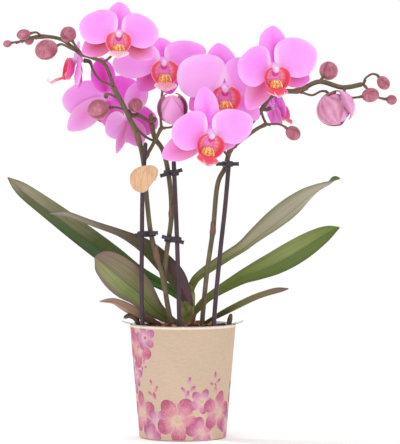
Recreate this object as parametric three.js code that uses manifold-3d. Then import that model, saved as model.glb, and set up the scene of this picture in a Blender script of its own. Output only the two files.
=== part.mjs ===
import * as THREE from 'three';
import { mergeVertices } from 'three/addons/utils/BufferGeometryUtils.js';
import Module from 'manifold-3d';

// A moth orchid with three flower spikes in a paper cover pot.
// Millimetres, +Z up, seen from -Y. The origin is the middle of the pot's flat underside.

const wasm = await Module();
wasm.setup();

// Cover pot, grow pot and bark
const potHeight = 102;
const rimRadius = 47.7;
const footRadius = 39.3;
const footRound = 2.2;
const paperWall = 0.9;
const paperFloor = 1.3;
const potSides = 32;
const gap = 0.35;
const sliver = 0.12;
const plasticWall = 0.9;
const growTop = 102.6;
const growRimRadius = 45.9;
const growFootRadius = 37.4;
const drainRadius = 3;
const drainCircle = 22;
const drainCount = 6;
const earReach = 55;
const earWidth = 15;
const barkTop = 92;
const chipCount = 21;
const chipSize = 16;

// Stems, stakes and clips
const stakeRadius = 2;
const spikeRadius = 2.2;
const branchRadius = 1.7;
const stalkRadius = 1;
const nodeBulge = 1.32;
const clipThickness = 5.5;
const tagThickness = 1.8;

// Blooms
const tepalThickness = 1.1;
const upperMargin = { peak: 0.68, power: 0.45 };
const lowerMargin = { peak: 1.25, power: 0.5 };
const sepalMargin = { half: 10.5, peak: 1.1, power: 0.62 };
const hubRadius = 3.8;
const tepalStart = 2.4;
const clawHalf = 1.5;
const hubBack = 4.4;
const columnLength = 10;
const lipRing = { radius: 9.3, drop: 9, flare: 2.1, depth: 3.4, forward: 7.2 };
const leafThickness = 1.9;

// Colours and finishes
const finishes = {
  kraft: { color: 0xd7bea0, roughness: 0.85 },
  clearPlastic: { color: 0xe4e8e4, roughness: 0.3 },
  bark: { color: 0x7a4632, roughness: 0.95 },
  root: { color: 0x6b5a3c, roughness: 0.8 },
  leafGreen: { color: 0x5f7f38, roughness: 0.45 },
  stem: { color: 0x6a5d48, roughness: 0.6 },
  stake: { color: 0x4a3540, roughness: 0.5 },
  clip: { color: 0x3a2c38, roughness: 0.4 },
  wood: { color: 0xdcb48c, roughness: 0.7 },
  petal: { color: 0xf4a2ee, roughness: 0.6 },
  lip: { color: 0xe8506e, roughness: 0.5 },
  bud: { color: 0xb0607a, roughness: 0.4 },
};

const vector = (point) => new THREE.Vector3(point[0], point[1], point[2]);

// A geometry as a closed solid with its faces out
function toSolid(geometry) {
  const bare = geometry.clone();
  bare.deleteAttribute('normal');
  bare.deleteAttribute('uv');
  const merged = mergeVertices(bare, 1e-4);
  const corners = merged.index.array;
  const kept = [];
  for (let i = 0; i < corners.length; i += 3) {
    const [a, b, c] = [corners[i], corners[i + 1], corners[i + 2]];
    if (a !== b && b !== c && c !== a) kept.push(a, b, c);
  }
  const vertProperties = new Float32Array(merged.attributes.position.array);
  const solid = (triVerts) => new wasm.Manifold(new wasm.Mesh({ numProp: 3, vertProperties, triVerts }));
  const first = solid(new Uint32Array(kept));
  if (first.volume() > 0) return first;
  return solid(new Uint32Array(kept.reverse()));
}

function toGeometry(solid) {
  const mesh = solid.getMesh();
  const geometry = new THREE.BufferGeometry();
  geometry.setAttribute('position', new THREE.BufferAttribute(new Float32Array(mesh.vertProperties), 3));
  geometry.setIndex(new THREE.BufferAttribute(new Uint32Array(mesh.triVerts), 1));
  geometry.computeVertexNormals();
  return geometry;
}

function join(solids) {
  let whole = solids[0];
  for (const solid of solids.slice(1)) whole = whole.add(solid);
  return whole;
}

function cut(solid, tools) {
  let left = solid;
  for (const tool of tools) left = left.subtract(tool);
  return left;
}

// The body that is left when loose scraps are dropped
function largest(solid) {
  const bodies = solid.decompose();
  bodies.sort((a, b) => b.volume() - a.volume());
  return bodies[0];
}

// A thin closed shell over a surface at(t, s), t from 0 to 1 along it and s from -1 to 1 across it.
// Both faces are split alike. The margins are half as thick as the middle.
function blade(at, along, across, thickness) {
  const step = 0.01;
  const positions = [];
  for (const side of [1, -1]) {
    for (let i = 0; i <= along; i++) {
      for (let j = 0; j <= across; j++) {
        const t = (1 - Math.cos((Math.PI * i) / along)) / 2;
        const s = (2 * j) / across - 1;
        const lengthwise = at(Math.min(t + step, 1), s).sub(at(Math.max(t - step, 0), s));
        const crosswise = at(t, Math.min(s + step, 1)).sub(at(t, Math.max(s - step, -1)));
        const normal = lengthwise.cross(crosswise).normalize();
        const half = (side * thickness * (1 - 0.5 * s * s)) / 2;
        const point = at(t, s).addScaledVector(normal, half);
        positions.push(point.x, point.y, point.z);
      }
    }
  }
  const face = (along + 1) * (across + 1);
  const id = (i, j) => i * (across + 1) + j;
  const index = [];
  for (let i = 0; i < along; i++) {
    for (let j = 0; j < across; j++) {
      const [a, b, c, d] = [id(i, j), id(i + 1, j), id(i + 1, j + 1), id(i, j + 1)];
      index.push(a, b, c, a, c, d);
      index.push(face + a, face + c, face + b, face + a, face + d, face + c);
    }
  }
  const border = [];
  for (let i = 0; i < along; i++) border.push(id(i, 0));
  for (let j = 0; j < across; j++) border.push(id(along, j));
  for (let i = along; i > 0; i--) border.push(id(i, across));
  for (let j = across; j > 0; j--) border.push(id(0, j));
  border.forEach((a, k) => {
    const b = border[(k + 1) % border.length];
    index.push(b, a, face + a, b, face + a, face + b);
  });
  const geometry = new THREE.BufferGeometry();
  geometry.setAttribute('position', new THREE.BufferAttribute(new Float32Array(positions), 3));
  geometry.setIndex(index);
  return toSolid(geometry);
}

// A round rod with its ends closed, along a smooth curve through the points
function rod(points, radius, sides, steps) {
  const section = new THREE.Shape();
  for (let k = 0; k < sides; k++) {
    const angle = (2 * Math.PI * k) / sides;
    const [x, y] = [radius * Math.cos(angle), radius * Math.sin(angle)];
    if (k === 0) section.moveTo(x, y);
    else section.lineTo(x, y);
  }
  section.closePath();
  const path = new THREE.CatmullRomCurve3(points.map(vector), false, 'centripetal');
  return toSolid(new THREE.ExtrudeGeometry(section, { steps, extrudePath: path, bevelEnabled: false }));
}

// A turned body: radius and height pairs about +Z
function turned(profile, sides) {
  const outline = profile.map(([radius, height]) => new THREE.Vector2(radius, height));
  const geometry = new THREE.LatheGeometry(outline, sides);
  return toSolid(geometry.rotateX(Math.PI / 2));
}

function ball(centre, radii, detail) {
  const geometry = new THREE.IcosahedronGeometry(1, detail);
  geometry.scale(radii[0], radii[1], radii[2]);
  return toSolid(geometry.translate(centre[0], centre[1], centre[2]));
}

// The turn that takes +Z to a direction, then the move to a place
function placement(place, direction) {
  const turn = new THREE.Quaternion().setFromUnitVectors(new THREE.Vector3(0, 0, 1), direction);
  return new THREE.Matrix4().compose(place, turn, new THREE.Vector3(1, 1, 1));
}

function moved(solid, matrix) {
  const geometry = toGeometry(solid);
  return toSolid(geometry.applyMatrix4(matrix));
}

// Paper cover pot: a cone with a rounded foot, a flat floor and a folded rim
function paperPot() {
  const outer = [[footRadius - footRound, 0]];
  for (const angle of [30, 60, 90]) {
    const bend = THREE.MathUtils.degToRad(angle);
    outer.push([
      footRadius - footRound * (1 - Math.sin(bend)),
      footRound * (1 - Math.cos(bend)),
    ]);
  }
  const inner = [
    [rimRadius - paperWall, potHeight],
    [footRadius - paperWall - 0.2, paperFloor + 0.8],
    [footRadius - paperWall - 1, paperFloor],
  ];
  const profile = [[0, 0], ...outer, [rimRadius - 0.2, potHeight - 2.4], [rimRadius + 0.2, potHeight - 2],
    [rimRadius + 0.2, potHeight], ...inner, [0, paperFloor]];
  return turned(profile, potSides);
}

// Clear grow pot: drain holes in its floor and two ears over the paper rim
function growPot() {
  const foot = paperFloor + gap;
  const wall = turned([[0, foot], [growFootRadius, foot], [growRimRadius, growTop],
    [growRimRadius - plasticWall, growTop], [growFootRadius - plasticWall, foot + plasticWall],
    [0, foot + plasticWall]], potSides);
  const ears = [0, 180].map((angle) => {
    const turn = THREE.MathUtils.degToRad(angle);
    const start = growRimRadius - plasticWall + 0.3;
    const at = (t, s) => {
      const out = start + (earReach - start) * t;
      const side = (s * earWidth * Math.sqrt(1 - 0.75 * t * t)) / 2;
      return new THREE.Vector3(
        out * Math.cos(turn) - side * Math.sin(turn),
        out * Math.sin(turn) + side * Math.cos(turn),
        growTop + 0.22 + 2.4 * t * t,
      );
    };
    return blade(at, 4, 2, plasticWall);
  });
  const drains = [];
  for (let k = 0; k < drainCount; k++) {
    const angle = (2 * Math.PI * k) / drainCount;
    const drill = new THREE.CylinderGeometry(drainRadius, drainRadius, 4, 8).rotateX(Math.PI / 2);
    drill.translate(drainCircle * Math.cos(angle), drainCircle * Math.sin(angle), foot);
    drains.push(toSolid(drill));
  }
  return cut(join([wall, ...ears]), drains);
}

// A repeatable random number between 0 and 1
function seeded(seed) {
  let state = seed;
  return () => {
    state = (state * 1664525 + 1013904223) % 4294967296;
    return state / 4294967296;
  };
}

// Bark: a packed cone whose top is heaped with loose chips
function barkFill() {
  const random = seeded(20);
  const floor = paperFloor + gap + plasticWall + gap;
  const topRadius = growRimRadius - plasticWall - 0.9;
  const pieces = [turned([[0, floor], [growFootRadius - plasticWall - 0.6, floor],
    [topRadius - 0.6, barkTop], [0, barkTop]], 20)];
  for (let k = 0; k < chipCount; k++) {
    const reach = (topRadius - 11.5) * Math.sqrt((k + 0.5) / chipCount);
    const angle = k * 2.39996;
    const size = chipSize * (0.75 + 0.5 * random());
    const chip = new THREE.BoxGeometry(size, size * (0.5 + 0.3 * random()), size * 0.42, 1, 1, 1);
    chip.rotateX(0.7 * (random() - 0.5));
    chip.rotateY(0.7 * (random() - 0.5));
    chip.rotateZ(6.28 * random());
    const height = barkTop + 3 * random() + 2 * (1 - reach / topRadius);
    chip.translate(reach * Math.cos(angle), reach * Math.sin(angle), height);
    pieces.push(toSolid(chip));
  }
  return join(pieces);
}

// The frame of a bloom: right, up and forward of its face. At turn 0 it faces -Y, a positive turn
// faces it towards +X, and a positive lift tips it up.
function bloomFrame(bloom) {
  const turn = THREE.MathUtils.degToRad(bloom.turn);
  const lift = THREE.MathUtils.degToRad(bloom.lift);
  const forward = new THREE.Vector3(
    Math.sin(turn) * Math.cos(lift),
    -Math.cos(turn) * Math.cos(lift),
    Math.sin(lift),
  );
  const right = new THREE.Vector3(Math.cos(turn), Math.sin(turn), 0);
  const up = new THREE.Vector3().crossVectors(forward, right);
  const size = bloom.size;
  const frame = new THREE.Matrix4().makeBasis(right, up, forward);
  frame.scale(new THREE.Vector3(size, size, size));
  return frame.setPosition(vector(bloom.centre));
}

// A tepal: an oval outline on a claw, with its tip bent back and its margins rolled back.
// margin(s) gives that side's half width, its peak, which moves the widest place outwards, and its
// power, which rounds it.
function tepal({ angle, length, margin, front, arch, reflex, rollBack, wave }) {
  const turn = THREE.MathUtils.degToRad(angle);
  const at = (t, s) => {
    const { half, peak, power } = margin(s);
    const outline = Math.pow(Math.sin(Math.PI * Math.pow(0.993 * t, peak)), power);
    const side = s * (clawHalf * (1 - t) + half * outline);
    const out = tepalStart + (length - tepalStart) * t;
    const height = front + arch * Math.sin(Math.PI * t) - reflex * t * t
      - rollBack * side * side * t + wave * s * s * Math.sin(5 * t + s);
    return new THREE.Vector3(
      out * Math.cos(turn) - side * Math.sin(turn),
      out * Math.sin(turn) + side * Math.cos(turn),
      height,
    );
  };
  return at;
}

function bloomTepals(bloom) {
  const petals = bloom.petals.map(([angle, length, reflex, upperHalf, lowerHalf]) => {
    const upper = angle < 90 || angle > 270 ? 1 : -1;
    const above = { half: upperHalf, ...upperMargin };
    const below = { half: lowerHalf, ...lowerMargin };
    const margin = (s) => (s * upper > 0 ? above : below);
    return blade(tepal({ angle, length, margin, front: 0.9, arch: 1.4, reflex, rollBack: 0.006,
      wave: 0.5 }), 4, 3, tepalThickness);
  });
  const sepals = bloom.sepals.map(([angle, length, reflex, broad]) => {
    const margin = () => ({ ...sepalMargin, half: broad * sepalMargin.half });
    return blade(tepal({ angle, length, margin, front: -1.4, arch: 0, reflex, rollBack: 0.008,
      wave: 0.3 }), 4, 2, tepalThickness);
  });
  return [...petals, ...sepals];
}

function bloomBody(bloom) {
  const hub = ball([0, 0, -0.4], [hubRadius, hubRadius, hubRadius], 0);
  const column = turned([[0, 0], [2.2, 0.4], [2.7, 7.4], [0, columnLength]], 6);
  const lean = new THREE.Vector3(0, -0.36, 0.93).normalize();
  const placed = moved(column, placement(new THREE.Vector3(0, 0.4, 0), lean));
  return moved(join([hub, placed, ...bloomTepals(bloom)]), bloomFrame(bloom));
}

// Lip: two side lobes that stand in a flared ring round the column, a callus between them and a
// middle lobe that reaches forwards and down
function lipBody(bloom) {
  const [roll, scale, reach] = bloom.lip;
  const lobes = [1, -1].map((side) => {
    const at = (t, s) => {
      const angle = THREE.MathUtils.degToRad(-86 + 150 * t);
      const band = s * (0.35 + 0.65 * Math.pow(Math.sin(Math.PI * (0.12 + 0.8 * t)), 0.7));
      const radius = lipRing.radius + lipRing.flare * band;
      return new THREE.Vector3(
        side * radius * Math.cos(angle),
        radius * 0.94 * Math.sin(angle) - lipRing.drop,
        lipRing.forward + lipRing.depth * band,
      );
    };
    return blade(at, 3, 2, 1);
  });
  const tongue = (t, s) => {
    const half = 2.6 + 6.6 * Math.pow(Math.sin(Math.PI * Math.pow(0.02 + 0.9 * t, 1.5)), 0.9);
    return new THREE.Vector3(s * half, -15.6 - 8.5 * t + 1.6 * s * s, 5.5 + reach * 11.5 * t - 3.5 * t * t);
  };
  const throat = ball([0, -14.2, 6.6], [4.6, 4.2, 3.6], 0);
  const claw = rod([[0, -14, 5], [0, -9, 4.2], [0, -4.9, 3.8]], 1.3, 4, 1);
  const whole = join([throat, claw, ...lobes, blade(tongue, 3, 2, 1.1)]);
  const frame = bloomFrame(bloom).multiply(new THREE.Matrix4().makeRotationZ(THREE.MathUtils.degToRad(roll)));
  return moved(whole, frame.scale(new THREE.Vector3(scale, scale, scale)));
}

// The way out of the back of a bloom, where its stalk ends
function stalkEnd(bloom, distance) {
  return new THREE.Vector3(0, 0, -distance / bloom.size).applyMatrix4(bloomFrame(bloom)).toArray();
}

// Every bloom: where its middle is and how it is turned. Each petal and sepal has its angle, its length
// and how far its tip bends back, then a petal the half widths of its upper and lower sides, and a sepal
// how broad it is against the others. The lip has its roll about the flower's axis, its scale and how
// far its middle lobe reaches.
const blooms = [
  { centre: [-56, -45, 362], turn: 0, lift: 8, size: 0.97, lip: [0, 1.05, 1],
    petals: [[167, 37, 3, 17.5, 14.5], [0, 36, 3, 17.5, 13.5]],
    sepals: [[90, 30, 4, 1], [207, 38, 4, 1], [325, 38, 4, 1]] },
  { centre: [-93, -2, 340], turn: -78, lift: 10, size: 0.92, lip: [0, 1.15, 1.6],
    petals: [[172, 34, 1, 16, 14], [-40, 33, 1, 11.5, 13]],
    sepals: [[92, 26, 14, 1], [242, 31, 2, 1], [292, 33, 2, 1]] },
  { centre: [-18, 0, 339], turn: 12, lift: 0, size: 1, lip: [0, 1.15, 1],
    petals: [[185, 46, 1.5, 15, 13], [13, 41, 1.5, 13.5, 13]],
    sepals: [[95, 21, 3, 1], [232, 34, 3, 1], [286, 31, 3, 1]] },
  { centre: [-49, 11, 289], turn: 184, lift: -8, size: 0.92, lip: [0, 1, 1],
    petals: [[198, 30, 1, 14, 13], [318, 28, 1, 13, 11]],
    sepals: [[112, 38, 2, 1], [250, 32, 2, 1], [288, 39, 2, 0.4]] },
  { centre: [37, -16, 315.5], turn: 8, lift: 0, size: 1.08, lip: [0, 1.12, 1],
    petals: [[158, 41, 1.5, 20, 18], [18, 38, 1.5, 19, 15]],
    sepals: [[97, 36.5, 3, 1.15], [214, 34, 3, 1], [318, 40, 3, 1]] },
  { centre: [80, -42, 333], turn: 20, lift: -4, size: 1.05, lip: [0, 1.05, 1],
    petals: [[184, 31, 3, 17.5, 15.5], [16, 42, 3, 19, 15.5]],
    sepals: [[88, 34, 4.5, 1.15], [242, 42, 4.5, 1], [342, 38, 4.5, 1]] },
  { centre: [24, -51, 275], turn: 18, lift: -12, size: 1, lip: [-12, 1.15, 1],
    petals: [[182, 34.5, 3, 19, 15.5], [12, 41.5, 3, 16.5, 15]],
    sepals: [[99, 40, 4.5, 1], [211, 47, 4.5, 1.15], [335, 30, 4.5, 1]] },
  { centre: [83, 16, 298], turn: 112, lift: 18, size: 0.82, lip: [0, 1, 1],
    petals: [[170, 31, 1, 16, 14], [8, 31, 1, 16, 14]],
    sepals: [[90, 31, 2, 1], [232, 24, 2, 1], [306, 24, 2, 1]] },
  { centre: [-70, 30, 307], turn: 180, lift: -4, size: 1, lip: [0, 1, 1],
    petals: [[168, 33, 2, 16, 14], [-6, 40, 2, 16, 15]],
    sepals: [[82, 36, 3, 1], [252, 33, 3, 1], [318, 46, 3, 1]] },
];

// Every bud: its middle, length and width, and the stalk that it hangs on. Its axis runs on from
// the stalk's last point through its middle.
const buds = [
  { spike: 1, centre: [-157, -8, 354], length: 8, width: 6.6, stalk: [[-146, -7, 356], [-150, -7.5, 355.4]] },
  { spike: 1, centre: [-142, -16, 362], length: 13, width: 9.4, stalk: [[-126, -6.2, 360.5],
    [-131, -12, 364]] },
  { spike: 1, centre: [-138, 1, 357], length: 9, width: 7.6, stalk: [[-128, -6.5, 360],
    [-131.5, -2.5, 360]] },
  { spike: 1, centre: [-121, -30, 348], length: 21, width: 18, stalk: [[-91, -15, 345], [-101, -20, 350],
    [-108, -25, 353]] },
  { spike: 1, centre: [-102, -18, 362], length: 14.5, width: 14.5, stalk: [[-90, -16, 344.6],
    [-95, -17.4, 351]] },
  { spike: 2, centre: [-75, -20, 295], length: 20, width: 18, stalk: [[-46, -14, 290], [-55, -17, 296],
    [-62, -18, 297]] },
  { spike: 2, centre: [-42, -21, 299], length: 13.5, width: 13, stalk: [[-40, -12, 290],
    [-40.5, -14, 291.5]] },
  { spike: 1, centre: [-9, -28, 296], length: 28, width: 27, opening: true, stalk: [[-19, -12, 279],
    [-12, -14, 279], [-8, -22, 281]] },
  { spike: 3, centre: [131, -2, 330], length: 17, width: 17, stalk: [[122, -7, 320], [124, -6, 322.5]] },
  { spike: 3, centre: [137, -12, 296], length: 31, width: 35, opening: true, stalk: [[103, -10, 312],
    [116, -9, 308], [124, -9, 311.5], [129, -9, 311]] },
  { spike: 3, centre: [180, -5, 319], length: 13.5, width: 11, stalk: [[162, -2, 318], [164, -2, 323],
    [170, -3, 327], [174.5, -4, 326]] },
  { spike: 3, centre: [168, -12, 308], length: 16, width: 13, stalk: [[144, -4, 315], [146, -6, 310],
    [151, -8, 306], [156, -10, 306]] },
  { spike: 3, centre: [188, 4, 304], length: 10, width: 9, stalk: [[162, -2, 318], [168, 1, 312],
    [174, 3, 307], [180, 3, 305]] },
  { spike: 3, centre: [99, -6, 274], length: 14.5, width: 12.5, stalk: [[75, -3, 282], [86, -5, 282],
    [91, -6, 280]] },
];

// Each spike: the main stem first, then its side branches, then the stalk of each of its blooms
const spikes = [
  {
    stem: [[-8, -8, 95], [-12, -10.5, 112], [-18, -13, 145], [-28, -13.5, 182], [-32, -15, 214],
      [-35, -16, 248], [-39, -19, 267], [-50, -24, 293], [-62, -26, 316]],
    branches: [[[-62, -26, 316], [-64.5, -26, 325], [-70, -25, 336], [-80, -21, 341], [-91, -15, 345],
      [-100, -7, 352], [-109, -5, 358], [-123, -6, 360.5], [-137, -7, 359], [-146, -7, 356]],
    [[-34.5, -16, 250], [-26, -14, 265], [-19, -12, 279]]],
    knots: [[-24, -13.3, 164], [-39, -19, 267], [-62, -26, 316]],
    blooms: [[0, [[-71, -25, 336], [-63, -29, 343], [-56, -32, 356]]],
      [1, [[-62, -26, 316], [-73, -21, 321], [-80, -12, 330]]],
      [2, [[-19, -12, 279], [-20, -2, 292], [-18, 14, 318], [-17, 16, 333]]],
      [8, [[-55, -25, 303], [-63, -12, 308], [-69, 8, 309]]]],
  },
  {
    stem: [[-9, -2, 95], [-12.5, -4.8, 112], [-16, -8, 138], [-15, -11, 162], [-10, -14, 202],
      [-13, -12, 239], [-18, -8, 259], [-25, -7, 270], [-28, -8, 283]],
    branches: [[[-28, -8, 283], [-34, -10, 287], [-40, -12, 290], [-46, -14, 290], [-49, -15, 295]],
      [[-28, -8, 283], [-24, -9, 288]]],
    knots: [[-10, -14, 202], [-28, -8, 283]],
    blooms: [[3, [[-23, -7, 266], [-32, -9, 270], [-41, -10, 278], [-46, -9, 286]]]],
  },
  {
    stem: [[17, -4, 96], [18, -6, 111], [22, -10, 151], [27, -13, 186], [32, -14, 231], [38, -12, 243],
      [43, -9, 260], [57, -4, 278], [70, -3, 294], [78, -7, 306], [87, -10, 311], [103, -10, 312],
      [122, -7, 320], [144, -4, 315], [162, -2, 318]],
    branches: [[[42, -9, 259], [56, -4, 270], [67, -3, 278], [75, -3, 282]]],
    knots: [[27, -13, 186], [43, -9, 260], [103, -10, 312]],
    blooms: [[4, [[43, -9, 260], [44, 2, 280], [41, 6, 305]]],
      [5, [[79, -8, 307], [80, -18, 316], [78, -27, 330]]],
      [6, [[40.5, -10.6, 254], [35, -20, 260], [26, -34, 270]]],
      [7, [[75, -3, 282], [72, 3, 289], [71, 10, 296]]]],
  },
];

// An egg about +Z, a little pointed at the top
function eggOf(half, wide) {
  return turned([[0, -half], [0.55 * wide, -0.84 * half], [0.93 * wide, -0.36 * half], [wide, 0.06 * half],
    [0.86 * wide, 0.5 * half], [0.5 * wide, 0.85 * half], [0, half]], 7);
}

function budBody(bud) {
  return moved(eggOf(bud.length / 2, bud.width / 2), placement(vector(bud.centre), budAxis(bud)));
}

// A bud that opens: a closed core, with three outer sepals that grow from its foot and stand off it
function openingBud(bud) {
  const [half, wide] = [bud.length / 2, bud.width / 2];
  const core = eggOf(0.86 * half, 0.76 * wide);
  const foot = ball([0, 0, -0.84 * half], [0.42 * wide, 0.42 * wide, 0.16 * half], 0);
  const shells = [0, 1, 2].map((k) => {
    const middle = (2 * Math.PI * k) / 3 + 0.5;
    const at = (t, s) => {
      const height = -Math.cos(Math.PI * (0.06 + 0.84 * t));
      const angle = middle + s * (0.3 + 0.65 * Math.sin(Math.PI * t));
      const radius = 0.97 * wide * Math.sqrt(1 - height * height);
      return new THREE.Vector3(radius * Math.cos(angle), radius * Math.sin(angle), half * height);
    };
    return blade(at, 4, 2, 1.2);
  });
  return moved(join([core, foot, ...shells]), placement(vector(bud.centre), budAxis(bud)));
}

function budAxis(bud) {
  const last = vector(bud.stalk[bud.stalk.length - 1]);
  return vector(bud.centre).sub(last).normalize();
}

// The end of a bud's stalk, a gap short of the bud
function budBase(bud) {
  const reach = bud.length / 2 + gap + (bud.opening ? 1.2 : 0);
  return vector(bud.centre).addScaledVector(budAxis(bud), -reach).toArray();
}

const stemSteps = (spike) => Math.round(spike.stem.length * 1.3);

function spikeBody(spike, number) {
  const parts = [rod(spike.stem, spikeRadius, 6, stemSteps(spike))];
  for (const point of spike.knots) {
    parts.push(ball(point, [spikeRadius * nodeBulge, spikeRadius * nodeBulge, spikeRadius * 1.2], 0));
  }
  for (const branch of spike.branches) {
    parts.push(rod(branch, branchRadius, 5, branch.length));
  }
  for (const [index, points] of spike.blooms) {
    const end = stalkEnd(blooms[index], hubBack + gap);
    parts.push(rod([...points, stalkEnd(blooms[index], hubBack + 5), end], stalkRadius * 1.2, 4, 5));
  }
  for (const bud of buds.filter((each) => each.spike === number)) {
    parts.push(rod([...bud.stalk, budBase(bud)], stalkRadius, 4, bud.stalk.length));
  }
  return join(parts);
}

// Leaves from the crown out. Every station has the place of the midrib, the half width and the lean of
// the blade out of the picture plane in degrees. A positive lean shows the upper face to -Y.
const leaves = [
  { fold: 0.2, stations: [[2, 9, 120, 3.5, 36], [-4, 12.3, 127, 4.5, 39], [-18, 14.5, 136, 6, 42],
    [-41, 20, 147.5, 9.5, 48], [-64, 26, 161.5, 15.5, 54], [-88, 32, 179, 17, 57], [-115, 41, 199, 16.3, 57],
    [-141, 47, 217.5, 13, 57], [-152, 48.5, 226, 8.5, 57], [-161, 49.5, 233.5, 0.7, 57]] },
  { fold: 0.25, stations: [[6, 1.5, 117, 4, -15], [2, 0, 129, 6.2, -18], [-5, 0, 143, 9.6, -25],
    [-13, 2, 152.5, 10.8, -32], [-32, 6, 170.5, 11.2, -50], [-55, 6, 183.5, 10.4, -69],
    [-81, 4.3, 193.5, 9.4, -75], [-103, 2, 202, 8.7, -78], [-112, 0.8, 202.6, 7.4, -78],
    [-119.5, 0, 202, 1.5, -75]] },
  { fold: 0.12, stations: [[-2, 6, 100.5, 3, -8], [-11, 4.4, 105.5, 4, -10], [-25, -0.3, 115.5, 8.5, -14],
    [-38.5, -5.4, 131, 14.3, -18], [-48, -10.4, 139.5, 17.2, -20], [-57.5, -15.4, 148, 17.7, -22],
    [-66, -19.6, 155.5, 15.3, -22], [-73, -23, 161, 10.4, -22], [-78, -25, 164, 1.7, -22]] },
  { fold: 0.15, stations: [[-16, -5, 98.5, 1.8, -30], [-25.5, -10.7, 104.5, 3.5, -35],
    [-34.5, -13.2, 109, 4.7, -35], [-43.5, -15.8, 114.5, 5.6, -36], [-53, -19, 120, 5.5, -38],
    [-61, -23, 124, 3.9, -40], [-68, -26, 124.6, 2.3, -40], [-74, -28, 124, 0.5, -40]] },
  { fold: 0.2, stations: [[6, 7, 127, 3, -16], [9, 7, 138, 3.9, -22], [16.5, 6, 147, 4.5, -28],
    [39, 4.4, 162.5, 6.8, -44], [53.5, 0.4, 172, 8.4, -50], [66, -5, 183, 11.6, -54],
    [82, -12.3, 196.5, 16.3, -57], [96.5, -19.2, 208.5, 17.5, -58], [109, -27, 219, 14.8, -62],
    [120, -33.7, 226, 10.9, -70], [128.5, -38.8, 230.5, 7.4, -84], [134.5, -41, 234, 5.1, -112],
    [139.5, -42, 234, 1, -120]] },
  { fold: 0.14, stations: [[8, 10, 109, 3, 34], [16, 13, 118.5, 4.2, 37], [25.5, 13.6, 127, 4.7, 40],
    [51, 16, 142, 8.2, 45], [67, 18.6, 149, 11.9, 48], [83, 22, 156, 15.3, 51], [98, 26, 164, 17.6, 53],
    [112, 30, 172, 17.5, 54], [124, 33, 179, 14.3, 55], [134, 35.6, 184.5, 8.7, 55],
    [143, 37.6, 188, 0.9, 55]] },
  { fold: 0.2, stations: [[9, 4, 98, 2.2, -58], [18, 3.5, 102, 2.7, -58], [24.5, 3, 105.5, 3.6, -60],
    [39.5, -2, 114, 6, -62], [61, -12.6, 125.5, 7.6, -66], [73, -17.4, 130.5, 8.6, -68],
    [84, -21.5, 133.7, 7.9, -70], [94.5, -25, 135.4, 1.5, -70]] },
];

// A leaf, or with a margin the wider and thicker shape that is cut where it leaves the crown
function leafBody(leaf, margin = 0) {
  const curve = (points) => new THREE.CatmullRomCurve3(points, false, 'catmullrom', 0.5);
  const line = curve(leaf.stations.map(vector));
  const form = curve(leaf.stations.map((station) => new THREE.Vector3(station[3], station[4], 0)));
  const depth = new THREE.Vector3(0, 1, 0);
  const at = (t, s) => {
    const centre = line.getPoint(t);
    const ahead = line.getTangent(t);
    const { x: half, y: degrees } = form.getPoint(t);
    const inPlane = new THREE.Vector3(-ahead.z, 0, ahead.x).normalize();
    if (inPlane.z < 0) inPlane.negate();
    const lean = THREE.MathUtils.degToRad(degrees);
    const across = inPlane.clone().multiplyScalar(Math.cos(lean)).addScaledVector(depth, Math.sin(lean));
    const upward = inPlane.multiplyScalar(Math.abs(Math.sin(lean)))
      .addScaledVector(depth, -Math.sign(lean) * Math.cos(lean));
    centre.addScaledVector(upward, leaf.fold * (Math.abs(s) - 1) * half);
    return centre.addScaledVector(across, s * (half + margin)).addScaledVector(ahead, margin * (2 * t - 1));
  };
  return blade(at, 10, 4, leafThickness + 3 * margin);
}

// Stakes: straight sticks that are pushed into the bark
const stakes = [
  [[-32, -19, 62], [-36, -22, 104], [-36.2, -22.6, 190], [-35.6, -23, 225], [-33, -23.6, 266]],
  [[-2, -25, 24], [-3, -24.4, 106], [-5, -22, 179], [-8, -19.6, 250]],
  [[24, -22, 24], [28, -24, 106], [33, -22.6, 163], [38, -21, 209], [41.5, -20, 250]],
];

const stakeRod = (points, radius) => rod(points, radius, 8, 5);

// Clips: a block with a hole round the stake and one round the stem, and two finger wings
const clips = [
  { stake: [-36.2, -22.6, 184], stem: [-28.2, -13.2, 184], spike: 0, wing: [0.87, 0, 0.1] },
  { stake: [-5.2, -21.9, 179], stem: [-12.3, -12.6, 179], spike: 1, wing: [0.87, 0, -0.25] },
  { stake: [-7.5, -19.9, 238.5], stem: [-12.9, -12, 238.5], spike: 1, wing: [0.9, 0, 0.25] },
  { stake: [41.2, -20.1, 246.5], stem: [38.8, -11.6, 246.5], spike: 2, wing: [1, 0, 0] },
  { stake: [-35.4, -23.1, 232], stem: [-33.6, -15.4, 232], spike: 0, wing: [0.6, 0, 0.1] },
];

function clipBody(clip, stakeTools, stemTools) {
  const [stake, stem] = [vector(clip.stake), vector(clip.stem)];
  const middle = stake.clone().add(stem).multiplyScalar(0.5);
  const span = stem.clone().sub(stake);
  const block = new THREE.BoxGeometry(span.length() + 7.4, 7.4, clipThickness);
  block.rotateZ(Math.atan2(span.y, span.x));
  block.translate(middle.x, middle.y, middle.z);
  const wing = vector(clip.wing).normalize();
  const wings = [1, -1].map((side) => {
    const plate = new THREE.BoxGeometry(8.4, 1.8, 3.4);
    plate.rotateY(-Math.asin(wing.z) * side);
    const reach = 6 * side;
    plate.translate(middle.x + wing.x * reach, middle.y - 3, middle.z + wing.z * reach);
    return toSolid(plate);
  });
  return largest(cut(join([toSolid(block), ...wings]), [...stakeTools, ...stemTools]));
}

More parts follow.
